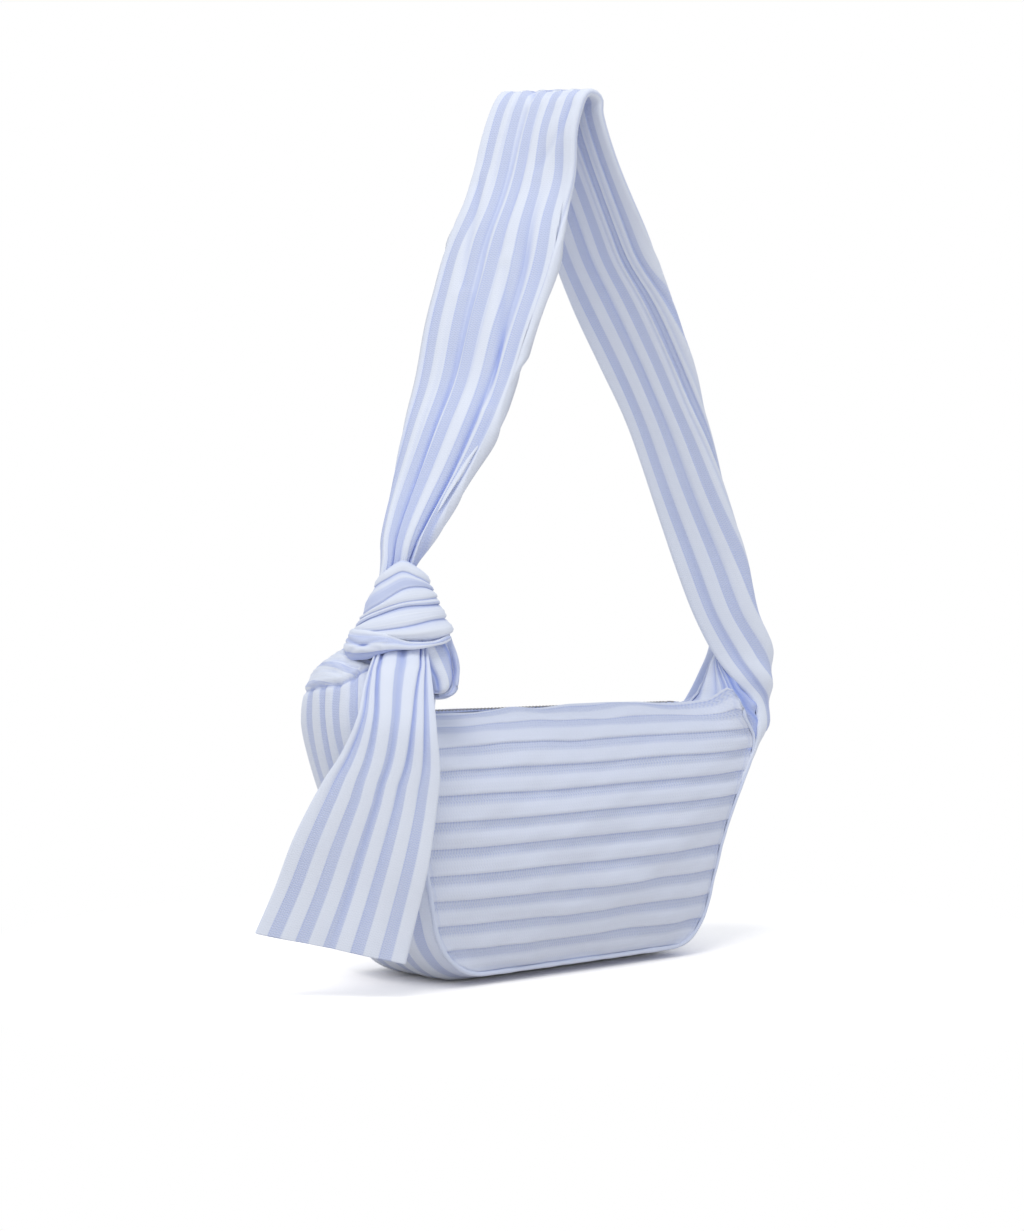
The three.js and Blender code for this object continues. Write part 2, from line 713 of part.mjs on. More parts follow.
// The zip is drawn level and tipped about the middle of its teeth
const zip = placed(new THREE.Group(), 0, 0, -chainZ, 0);
zip.add(
  piece('zip_tape_front', tape(-1), tapeCloth),
  piece('zip_tape_back', tape(1), tapeCloth),
  piece('zip_teeth_front', teeth(-1), metal),
  piece('zip_teeth_back', teeth(1), metal),
  piece('zip_stop_left', zipStop(-1), metal),
  piece('zip_stop_right', zipStop(1), metal),
);
const sliderGroup = placed(new THREE.Group(), -sliderRest, 0, 0, 0);
sliderGroup.add(piece('zip_slider', slider(), metal), piece('zip_pull', pull(), metal));
zip.add(sliderGroup);
const tippedZip = placed(new THREE.Group(), 0, 0, chainZ, 0);
tippedZip.rotation.y = zipTurn;
tippedZip.add(zip);

const strap = new THREE.Group();
strap.add(
  piece('strap_left_run', strapLeft(leftStart, 1, 28, squareToZAtStart), knit),
  piece('strap_right_run', strapRight(), knit),
);

const knot = placed(new THREE.Group(), knotX, -knotForward, knotBase, -faceTurn);
knot.add(
  piece('knot_core', knotCore(), knit),
  piece('knot_wrap', knotWrap(), knit),
  piece('knot_roll', knotRoll(), knit),
  piece('knot_loop', knotLoop(), knit),
);

const tail = placed(new THREE.Group(), -topHalf, -gussetHalf, 0, -faceTurn);
tail.add(
  piece('strap_tail', tailCloth(0, hemShare, 18), knit),
  piece('tail_hem', tailCloth(hemShare + clearance / tailLength, 1, 2), knit),
);

const shoulderBag = new THREE.Group();
shoulderBag.add(bag, tippedZip, strap, knot, tail);

export default shoulderBag;
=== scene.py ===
import math

import bpy
import numpy as np
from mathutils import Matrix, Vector


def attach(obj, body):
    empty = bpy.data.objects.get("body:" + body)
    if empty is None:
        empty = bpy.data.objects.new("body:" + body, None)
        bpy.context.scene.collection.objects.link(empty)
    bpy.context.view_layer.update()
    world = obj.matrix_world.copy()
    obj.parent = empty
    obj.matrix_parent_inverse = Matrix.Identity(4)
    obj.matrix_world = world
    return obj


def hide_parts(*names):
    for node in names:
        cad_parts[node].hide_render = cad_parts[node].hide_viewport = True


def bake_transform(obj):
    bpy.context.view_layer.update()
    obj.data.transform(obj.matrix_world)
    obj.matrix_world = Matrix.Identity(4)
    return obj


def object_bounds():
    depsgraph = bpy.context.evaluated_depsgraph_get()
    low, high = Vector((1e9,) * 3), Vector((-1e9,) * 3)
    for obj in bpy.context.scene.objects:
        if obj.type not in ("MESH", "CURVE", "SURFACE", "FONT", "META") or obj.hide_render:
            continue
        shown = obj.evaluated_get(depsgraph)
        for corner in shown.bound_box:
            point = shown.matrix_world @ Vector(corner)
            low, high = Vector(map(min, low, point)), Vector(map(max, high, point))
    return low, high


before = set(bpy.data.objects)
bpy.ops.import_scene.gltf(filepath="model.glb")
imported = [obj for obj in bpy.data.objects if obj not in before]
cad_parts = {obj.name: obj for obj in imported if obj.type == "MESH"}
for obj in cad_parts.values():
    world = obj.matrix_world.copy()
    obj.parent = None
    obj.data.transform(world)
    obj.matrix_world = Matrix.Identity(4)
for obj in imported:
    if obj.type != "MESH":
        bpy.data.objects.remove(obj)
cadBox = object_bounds()
scene = bpy.context.scene
mm = 0.001  # the tables and sizes below are in millimetres

# camera, lights and floor

photoView = {
    "turn": 42,  # degrees that the camera stands round to the bag's left
    "distance": 2091,
    "side": 14.4,
    "height": 326,
    "down": 2.675,
    "lens": 93.58,
}


def setUpCamera(view):
    turn = math.radians(view["turn"])
    ahead = Vector((math.sin(turn), math.cos(turn), 0))
    right = Vector((math.cos(turn), -math.sin(turn), 0))
    data = bpy.data.cameras.new("photoCamera")
    data.lens = view["lens"]
    data.sensor_width = 36
    data.clip_end = 50
    camera = bpy.data.objects.new("photoCamera", data)
    spot = Vector((0, 0, view["height"])) - right * view["side"] - ahead * view["distance"]
    camera.location = spot * mm
    camera.rotation_euler = (math.radians(90 - view["down"]), 0, -turn)
    scene.collection.objects.link(camera)
    scene.camera = camera


studio = {
    "ambient": 0.75,
    "room": (0.87, 0.92, 1, 1),
    "key": {"spot": (-0.85, -0.4, 2.5), "size": 1.3, "power": 20},
    "fill": {"spot": (-1.3, -1.6, 1.1), "size": 1.6, "power": 3},
    "lampColour": (1, 0.985, 0.965),
    "aim": (0, 0, 0.25),
    "floorRadius": 0.4,  # the floor's shading fades out past this
    "floorPaint": (0.8, 0.765, 0.72),
    "floorSeen": 1.8,  # the camera sees the floor that much brighter than it lights the bag
}


def link(tree, source, target):
    tree.links.new(source, target)


def feed(tree, socket, value):
    # a number or a colour is set on the socket, a node's output is linked to it
    if isinstance(value, (int, float, tuple)):
        socket.default_value = value
    else:
        link(tree, value, socket)


def addNode(tree, kind, **settings):
    node = tree.nodes.new(kind)
    for key, value in settings.items():
        setattr(node, key, value)
    return node


def addMath(tree, operation, first, second=None, third=None):
    node = addNode(tree, "ShaderNodeMath", operation=operation)
    for socket, value in zip(node.inputs, (first, second, third)):
        if value is not None:
            feed(tree, socket, value)
    return node.outputs[0]


def seenRay(tree):
    path = addNode(tree, "ShaderNodeLightPath")
    seen = addMath(tree, "MAXIMUM", path.outputs["Is Camera Ray"], path.outputs["Is Glossy Ray"])
    return addMath(tree, "MAXIMUM", seen, path.outputs["Is Transmission Ray"])


def setUpWorld(look):
    world = bpy.data.worlds.new("studioWorld")
    world.use_nodes = True
    scene.world = world
    tree = world.node_tree
    tree.nodes.clear()
    room = addNode(tree, "ShaderNodeBackground")
    room.inputs["Strength"].default_value = look["ambient"]
    room.inputs["Color"].default_value = look["room"]
    white = addNode(tree, "ShaderNodeBackground")
    white.inputs["Color"].default_value = (1, 1, 1, 1)
    mix = addNode(tree, "ShaderNodeMixShader")
    out = addNode(tree, "ShaderNodeOutputWorld")
    link(tree, seenRay(tree), mix.inputs[0])
    link(tree, room.outputs[0], mix.inputs[1])
    link(tree, white.outputs[0], mix.inputs[2])
    link(tree, mix.outputs[0], out.inputs[0])


def setUpLamp(name, lamp, look):
    data = bpy.data.lights.new(name, "AREA")
    data.size = lamp["size"]
    data.energy = lamp["power"]
    data.color = look["lampColour"]
    light = bpy.data.objects.new(name, data)
    light.location = lamp["spot"]
    towards = Vector(look["aim"]) - Vector(lamp["spot"])
    light.rotation_euler = towards.to_track_quat("-Z", "Y").to_euler()
    scene.collection.objects.link(light)


def setUpFloor(look):
    bpy.ops.mesh.primitive_plane_add(size=12, location=(0, 0, cadBox[0][2]))
    floor = bpy.context.object
    floor.name = "floor"
    material = bpy.data.materials.new("whiteFloor")
    material.use_nodes = True
    tree = material.node_tree
    tree.nodes.clear()
    place = addNode(tree, "ShaderNodeTexCoord")
    far = addNode(tree, "ShaderNodeVectorMath", operation="LENGTH")
    fade = addNode(tree, "ShaderNodeMapRange", interpolation_type="SMOOTHSTEP")
    fade.inputs["From Min"].default_value = look["floorRadius"] * 0.5
    fade.inputs["From Max"].default_value = look["floorRadius"]
    link(tree, place.outputs["Object"], far.inputs[0])
    link(tree, far.outputs["Value"], fade.inputs["Value"])
    brighter = addMath(tree, "MULTIPLY_ADD", seenRay(tree), look["floorSeen"] - 1, 1)
    tone = addNode(tree, "ShaderNodeCombineXYZ")
    for socket, value in zip(tone.inputs, look["floorPaint"]):
        link(tree, addMath(tree, "MULTIPLY", brighter, value), socket)
    near = addNode(tree, "ShaderNodeBsdfDiffuse")
    link(tree, tone.outputs[0], near.inputs["Color"])
    white = addNode(tree, "ShaderNodeEmission")
    mix = addNode(tree, "ShaderNodeMixShader")
    out = addNode(tree, "ShaderNodeOutputMaterial")
    link(tree, addMath(tree, "MULTIPLY", fade.outputs[0], seenRay(tree)), mix.inputs[0])
    link(tree, near.outputs[0], mix.inputs[1])
    link(tree, white.outputs[0], mix.inputs[2])
    link(tree, mix.outputs[0], out.inputs[0])
    floor.data.materials.append(material)


setUpCamera(photoView)
setUpWorld(studio)
setUpLamp("keyLamp", studio["key"], studio)
setUpLamp("fillLamp", studio["fill"], studio)
setUpFloor(studio)
scene.view_settings.view_transform = "Standard"
print("camera, lights and floor ready")

# finishes


def shade(red, green, blue):
    # a colour as it looks on screen, in the values that a shader takes
    parts = [value / 255 for value in (red, green, blue)]
    return tuple(p / 12.92 if p < 0.04045 else ((p + 0.055) / 1.055) ** 2.4 for p in parts) + (1,)


ribKnit = {
    "white": shade(234, 238, 247),
    "blue": shade(209, 216, 238),
    # painted shade: the colour that folds, creases, stitch grooves and the step under each white stripe are
    # painted towards
    "paintedShade": shade(156, 174, 232),
    "deepen": 1.3,  # above 1 keeps that shade to the deepest places
    "lowerEdge": 0.03,  # how soft the change from white to blue is, as a share of the pair
    "upperEdge": 0.04,  # and from blue to white
    "line": 0.16,  # painted shadow: a dark line in the step between them
    "shadowLineWidth": 0.045,
    "stitch": 1.6,  # mm along the stripe
    "wale": 1.3,  # mm across it
    "slant": 0.55,
    "stripeWidth": 8.6,
    "bump": 0.3,
    "bumpDepth": 0.0006,
    "grain": 38,
    "grainTint": 0.14,
    # painted shade in the grooves between the stitches
    "stitchShade": 0.3,
    "onWhite": (0.35, 0.3),  # shares of the stitch's height and painted shade that the white stripes keep
    "fuzz": 0.7,
    "roughness": 0.93,
    "shine": 0.2,
    "sheen": 0.22,
    "sheenRoughness": 0.45,
}
panelKnit = ribKnit | {
    "white": shade(226, 230, 242),
    "blue": shade(212, 218, 236),
    # painted shade colour of the panel's rib valleys and seam
    "paintedShade": shade(168, 182, 228),
    "lowerEdge": 0.018,
    "upperEdge": 0.13,
    "line": 0.3,
    "stripeWidth": 7.55,
    "stitch": 2.2,
    "wale": 1.9,
    "bump": 0.5,
    "stitchShade": 0.42,
}


def mixColours(tree, factor, first, second):
    node = addNode(tree, "ShaderNodeMix", data_type="RGBA")
    for place, value in ((0, factor), (6, first), (7, second)):
        feed(tree, node.inputs[place], value)
    return node.outputs[2]


def mapRange(tree, value, low, high, toLow=0.0, toHigh=1.0):
    node = addNode(tree, "ShaderNodeMapRange", interpolation_type="SMOOTHSTEP")
    for key, number in (("From Min", low), ("From Max", high), ("To Min", toLow), ("To Max", toHigh)):
        node.inputs[key].default_value = number
    link(tree, value, node.inputs["Value"])
    return node.outputs[0]


def newMaterial(name):
    material = bpy.data.materials.new(name)
    material.use_nodes = True
    tree = material.node_tree
    return material, tree, tree.nodes["Principled BSDF"]


def addGrain(tree, scale, detail):
    grain = addNode(tree, "ShaderNodeTexNoise")
    grain.inputs["Scale"].default_value = scale
    grain.inputs["Detail"].default_value = detail
    place = addNode(tree, "ShaderNodeTexCoord")
    link(tree, place.outputs["Object"], grain.inputs["Vector"])
    return grain.outputs["Fac"]


def addBump(tree, shader, height, look):
    bump = addNode(tree, "ShaderNodeBump")
    bump.inputs["Strength"].default_value = look["bump"]
    bump.inputs["Distance"].default_value = look["bumpDepth"]
    link(tree, height, bump.inputs["Height"])
    link(tree, bump.outputs[0], shader.inputs["Normal"])


def knitMaterial(name, look, stripes=True):
    material, tree, cloth = newMaterial(name)
    cloth.inputs["Roughness"].default_value = look["roughness"]
    cloth.inputs["Specular IOR Level"].default_value = look["shine"]
    cloth.inputs["Sheen Weight"].default_value = look["sheen"]
    cloth.inputs["Sheen Roughness"].default_value = look["sheenRoughness"]
    uv = addNode(tree, "ShaderNodeUVMap", uv_map="cloth")
    split = addNode(tree, "ShaderNodeSeparateXYZ")
    link(tree, uv.outputs[0], split.inputs[0])
    along, stripe = split.outputs[0], split.outputs[1]
    if stripes:
        part = addMath(tree, "FRACT", stripe)
        lower = mapRange(tree, part, 0.5 - look["lowerEdge"], 0.5 + look["lowerEdge"], 1, 0)
        upper = mapRange(tree, part, 1 - 2 * look["upperEdge"], 1)
        whiteness = addMath(tree, "ADD", lower, upper)
    else:
        whiteness = addMath(tree, "MULTIPLY_ADD", stripe, 0, 1)
    grain = addGrain(tree, look["grain"], 4)
    colour = mixColours(tree, whiteness, look["blue"], look["white"])
    # painted shade: the colour goes towards the shade colour where a point lies deep in a fold
    paintedShade = addNode(tree, "ShaderNodeAttribute", attribute_name="paintedShade")
    deep = addMath(tree, "POWER", paintedShade.outputs["Fac"], look["deepen"])
    colour = mixColours(tree, deep, colour, look["paintedShade"])
    if stripes:
        # painted shadow line along the step from each white stripe to the blue under it
        step = addMath(tree, "ABSOLUTE", addMath(tree, "SUBTRACT", part, 0.5 + look["lowerEdge"]))
        line = mapRange(tree, step, 0, look["shadowLineWidth"], look["line"], 0)
        colour = mixColours(tree, line, colour, look["paintedShade"])
    tired = mapRange(tree, grain, 0.35, 0.7, 0.0, look["grainTint"])
    colour = mixColours(tree, tired, colour, look["blue"])
    # fine knit: slanting stitches that turn at every wale
    rowPlace = addMath(tree, "DIVIDE", addMath(tree, "MULTIPLY", along, 10), look["stitch"])
    walePlace = addMath(tree, "MULTIPLY", stripe, 2 * look["stripeWidth"] / look["wale"])
    slant = addMath(tree, "MULTIPLY", addMath(tree, "PINGPONG", walePlace, 1), look["slant"])
    stitchTurn = addMath(tree, "MULTIPLY", addMath(tree, "ADD", rowPlace, slant), math.pi * 2)
    stitch = addMath(tree, "SINE", stitchTurn)
    groove = addMath(tree, "ABSOLUTE", addMath(tree, "SINE", addMath(tree, "MULTIPLY", walePlace, math.pi)))
    height = addMath(tree, "MULTIPLY", addMath(tree, "ADD", stitch, groove), 0.5)
    whiteHeight, whiteShade = look["onWhite"]
    height = addMath(tree, "MULTIPLY", height, mapRange(tree, whiteness, 0, 1, 1.0, whiteHeight))
    height = addMath(tree, "MULTIPLY_ADD", grain, look["fuzz"], height)
    addBump(tree, cloth, height, look)
    # painted shade in the stitches' grooves
    shadeStitch = mapRange(tree, height, -0.1, 0.9, look["stitchShade"], 0.0)
    shadeStitch = addMath(tree, "MULTIPLY", shadeStitch, mapRange(tree, whiteness, 0, 1, 1.0, whiteShade))
    colour = mixColours(tree, shadeStitch, colour, look["paintedShade"])
    link(tree, colour, cloth.inputs["Base Color"])
    return material


ribKnitCloth = knitMaterial("ribKnitCloth", ribKnit)
panelKnitCloth = knitMaterial("panelKnitCloth", panelKnit)
weltKnit = ribKnit | {"white": shade(222, 228, 244), "stitch": 1.4}
weltCloth = knitMaterial("weltCloth", weltKnit, stripes=False)

metalLook = {
    "colour": (0.2, 0.2, 0.215, 1),
    "worn": 1.9,  # how much brighter the metal is where it is rubbed
    "roughness": 0.34,
    "grain": 420,
    "bump": 0.12,
    "bumpDepth": 0.0002,
}
tapeLook = {
    "colour": shade(178, 190, 224),
    "shadow": shade(140, 152, 196),
    "weave": 900,
    "grain": 60,
    "roughness": 0.85,
    "sheen": 0.15,
    "bump": 0.3,
    "bumpDepth": 0.0002,
}
liningLook = tapeLook | {"colour": shade(214, 219, 234), "shadow": shade(186, 194, 218), "weave": 1400}


def metalMaterial(name, look):
    material, tree, metal = newMaterial(name)
    metal.inputs["Metallic"].default_value = 1
    grain = addGrain(tree, look["grain"], 5)
    bright = tuple(min(1, look["worn"] * value) for value in look["colour"][:3]) + (1,)
    tone = mixColours(tree, mapRange(tree, grain, 0.45, 0.75), look["colour"], bright)
    link(tree, tone, metal.inputs["Base Color"])
    rough = mapRange(tree, grain, 0.3, 0.7, look["roughness"] - 0.08, look["roughness"] + 0.14)
    link(tree, rough, metal.inputs["Roughness"])
    addBump(tree, metal, grain, look)
    return material


def wovenMaterial(name, look):
    material, tree, cloth = newMaterial(name)
    cloth.inputs["Roughness"].default_value = look["roughness"]
    cloth.inputs["Sheen Weight"].default_value = look["sheen"]
    place = addNode(tree, "ShaderNodeTexCoord")
    split = addNode(tree, "ShaderNodeSeparateXYZ")
    link(tree, place.outputs["Object"], split.inputs[0])
    threads = []
    for axis in (0, 1):
        turn = addMath(tree, "MULTIPLY", split.outputs[axis], look["weave"] * math.pi)
        threads.append(addMath(tree, "SINE", turn))
    weave = addMath(tree, "MULTIPLY", *threads)
    tone = addMath(tree, "MULTIPLY_ADD", weave, 0.25, addGrain(tree, look["grain"], 2))
    colour = mixColours(tree, mapRange(tree, tone, 0.2, 0.9), look["shadow"], look["colour"])
    link(tree, colour, cloth.inputs["Base Color"])
    addBump(tree, cloth, weave, look)
    return material


zipMetal = metalMaterial("zipMetal", metalLook)
zipTapeCloth = wovenMaterial("zipTapeCloth", tapeLook)
liningWeave = wovenMaterial("liningWeave", liningLook)
print("finishes ready")

# cloth: smooth nets of points, stripes, folds and closed meshes


def throughRows(rows, shares):
    # a smooth curve through rows of numbers, at each share from 0 to 1
    rows = np.asarray(rows, float)
    last = len(rows) - 1
    place = np.clip(shares, 0, 1) * last
    start = np.minimum(place.astype(int), last - 1)
    part = (place - start).reshape(-1, *[1] * (rows.ndim - 1))
    before, here, after, beyond = (rows[np.clip(start + k, 0, last)] for k in (-1, 0, 1, 2))
    rise = after - here
    slopeIn = (after - before) / 2
    slopeOut = (beyond - here) / 2
    bend = 3 * rise - 2 * slopeIn - slopeOut + part * (slopeIn + slopeOut - 2 * rise)
    return here + part * (slopeIn + part * bend)


def smoothNet(net, along, across):
    net = np.asarray(net, float)
    spread = throughRows(net.swapaxes(0, 1), across).swapaxes(0, 1)
    return throughRows(spread, along)


def runLength(line):
    steps = np.linalg.norm(np.diff(line, axis=0), axis=1)
    return np.concatenate([[0], np.cumsum(steps)])


def evenShares(net, step, start=0.0, end=1.0):
    # shares along a net at even steps of length down its middle, and the length at each
    fine = np.linspace(start, end, 600)
    run = runLength(smoothNet(net, fine, np.array([0.5]))[:, 0])
    places = np.linspace(0, run[-1], max(int(run[-1] / step), 2) + 1)
    return np.interp(places, run, fine), places


def spreadAcross(rows, spots):
    # each row of points again, at its own shares of the row's length
    out = np.empty((len(rows), spots.shape[1], 3))
    for k, row in enumerate(rows):
        run = runLength(row)
        run /= run[-1]
        for axis in range(3):
            out[k, :, axis] = np.interp(spots[k], run, row[:, axis])
    return out


def outwards(points):
    along = np.gradient(points, axis=0)
    across = np.gradient(points, axis=1)
    normal = np.cross(along, across)
    return normal / np.maximum(np.linalg.norm(normal, axis=2, keepdims=True), 1e-9)


def ripple(first, second, seed, size):
    # gentle uneven waves, the same on every run
    rng = np.random.default_rng(seed)
    total = np.zeros(np.broadcast(first, second).shape)
    for _ in range(7):
        turn = rng.uniform(0, 2 * math.pi)
        length = size * rng.uniform(0.6, 1.7)
        phase = rng.uniform(0, 2 * math.pi)
        total += np.sin((first * math.cos(turn) + second * math.sin(turn)) * 2 * math.pi / length + phase)
    return total / 7 ** 0.5


def bumpAt(value, middle, half):
    near = np.clip(1 - np.abs(value - middle) / half, 0, 1)
    return near * near * (3 - 2 * near)


def newMesh(name, points, faces, material):
    mesh = bpy.data.meshes.new(name)
    mesh.from_pydata((points * mm).tolist(), [], faces)
    mesh.polygons.foreach_set("use_smooth", np.ones(len(faces), bool))
    mesh.materials.append(material)
    thing = bpy.data.objects.new(name, mesh)
    scene.collection.objects.link(thing)
    return thing, mesh


def addClothValues(mesh, coords, paintedShade):
    # each point's place on the cloth, in cm along it and in stripes across, and how much painted shade it
    # gets for lying deep in a fold
    corners = np.empty(len(mesh.loops), int)
    mesh.loops.foreach_get("vertex_index", corners)
    mesh.uv_layers.new(name="cloth").data.foreach_set("uv", coords[corners].astype(np.float32).ravel())
    depth = mesh.attributes.new("paintedShade", "FLOAT", "POINT")
    depth.data.foreach_set("value", np.clip(paintedShade, 0, 1).astype(np.float32).ravel())


def closedCloth(name, outer, inner, alongCm, stripe, paintedShade, material):
    # a closed mesh from two grids of points, with its cloth coordinates
    rows, columns = outer.shape[:2]
    layer = rows * columns
    points = np.concatenate([outer.reshape(-1, 3), inner.reshape(-1, 3)])
    spot = np.arange(layer).reshape(rows, columns)
    a, b, c, d = spot[:-1, :-1], spot[1:, :-1], spot[1:, 1:], spot[:-1, 1:]
    faces = [np.stack([a, b, c, d], -1).reshape(-1, 4), np.stack([a, d, c, b], -1).reshape(-1, 4) + layer]
    for edge, flip in ((spot[:, 0], 0), (spot[:, -1], 1), (spot[0], 1), (spot[-1], 0)):
        wall = np.stack([edge[:-1], edge[:-1] + layer, edge[1:] + layer, edge[1:]], -1)
        faces.append(wall[:, ::-1] if flip else wall)
    cloth, mesh = newMesh(name, points, np.concatenate(faces).tolist(), material)
    coords = np.stack([np.broadcast_to(value, (rows, columns)) for value in (alongCm, stripe)], -1)
    addClothValues(mesh, np.tile(coords.reshape(-1, 2), (2, 1)), np.broadcast_to(paintedShade, (2, rows, columns)))
    # the cut ends stay crisp
    atEnd = np.zeros(2 * layer, bool)
    atEnd[np.concatenate([spot[0], spot[-1], spot[0] + layer, spot[-1] + layer])] = True
    ends = np.empty(2 * len(mesh.edges), int)
    mesh.edges.foreach_get("vertices", ends)
    crisp = mesh.attributes.new("sharp_edge", "BOOLEAN", "EDGE")
    crisp.data.foreach_set("value", atEnd[ends].reshape(-1, 2).all(axis=1))
    mesh.update()
    return cloth


def closedTube(name, rings, alongCm, material, stripe=None, paintedShade=0.0, flip=False):
    # a closed mesh through rings of points, capped at both ends
    count, sides = rings.shape[:2]
    points = np.concatenate([rings.reshape(-1, 3), rings[0].mean(0)[None], rings[-1].mean(0)[None]])
    spot = np.arange(count * sides).reshape(count, sides)
    turned = np.roll(spot, -1, axis=1)
    quads = np.stack([spot[:-1], turned[:-1], turned[1:], spot[1:]], -1).reshape(-1, 4).tolist()
    foot, head = count * sides, count * sides + 1
    caps = [[foot, b, a] for a, b in zip(spot[0].tolist(), turned[0].tolist())]
    caps += [[head, a, b] for a, b in zip(spot[-1].tolist(), turned[-1].tolist())]
    faces = quads + caps
    if flip:
        faces = [face[::-1] for face in faces]
    tube, mesh = newMesh(name, points, faces, material)
    if stripe is None:
        stripe = np.linspace(0, 1, sides)
    around = np.broadcast_to(stripe, (count, sides))
    coords = np.stack([np.broadcast_to(np.asarray(alongCm)[:, None], (count, sides)), around], -1)
    coords = coords.reshape(-1, 2)
    foldShade = np.broadcast_to(paintedShade, (count, sides)).ravel()
    addClothValues(mesh, np.concatenate([coords, coords[:1], coords[-1:]]), np.concatenate([foldShade, [0, 0]]))
    mesh.validate()
    mesh.update()
    return tube


stripeSteps = [0, 0.07, 0.2, 0.38, 0.62, 0.8, 0.93]  # places across one stripe
rimSteps = [0, 0.03, 0.07, 0.13]


def stripeColumns(stripes):
    inner = [k + step for k in range(stripes) for step in stripeSteps]
    rims = rimSteps + [stripes - step for step in rimSteps]
    return np.array(sorted(set(np.round(inner + rims, 4))))


def ridge(stripe, sharpness=2.4):
    # 1 on the raised white stripes, 0 on the blue ones between them
    return 0.5 + 0.5 * np.tanh(sharpness * np.sin(math.pi * stripe)) / math.tanh(sharpness)


def foldAt(at, half, depth, tuck, *amount, edge=None):
    # a fold along a stripe: its half width in stripes, depth, width taken up, and its strength at each share
    return {"at": at, "half": half, "depth": depth, "tuck": tuck, "amount": amount, "edge": edge or half}


def gathersAndFolds(look, shares, columns, valley):
    # how much of its width each place keeps, and how deep it sinks
    gather = np.outer(np.interp(shares, *zip(*look["gather"])), valley)
    keep = 1 - gather * look.get("tuck", 0.6)
    sink = gather * look["gatherDepth"]
    for fold in look["folds"]:
        flat = fold["half"] - fold["edge"]
        off = np.maximum(np.abs(columns - fold["at"]), flat)
        across = bumpAt(off, flat, fold["edge"])
        amount = np.outer(np.interp(shares, *zip(*fold["amount"])), across)
        keep -= amount * fold["tuck"]
        sink += amount * fold["depth"]
    return np.clip(keep, 0.06, None), sink


def creaseRelief(look, shares, run, columns):
    # each crease slants over the stripes in a bow, between two soft shoulders
    width = look["stripeWidth"]
    relief = np.zeros((len(run), len(columns)))
    for fromShare, fromStripe, toShare, toStripe, wide, deep, bow in look.get("creases", ()):
        startRun, endRun = np.interp([fromShare, toShare], shares, run)
        reachRun, reachAcross = endRun - startRun, (toStripe - fromStripe) * width
        length = math.hypot(reachRun, reachAcross)
        ux, uy = reachRun / length, reachAcross / length
        placeRun, placeAcross = run[:, None] - startRun, (columns[None] - fromStripe) * width
        passed = np.clip((placeRun * ux + placeAcross * uy) / length, 0, 1)
        bowed = bow * np.sin(math.pi * passed)
        offRun = placeRun - passed * length * ux - bowed * uy
        offAcross = placeAcross - passed * length * uy + bowed * ux
        off = np.hypot(offRun, offAcross)
        groove = np.exp(-(off / wide) ** 2) * (0.3 + 0.7 * np.sin(math.pi * np.clip(passed, 0.08, 0.92)))
        shoulder = np.exp(-((off - 2.2 * wide) / (1.4 * wide)) ** 2) * 0.45
        relief += deep * (groove - shoulder)
    return relief


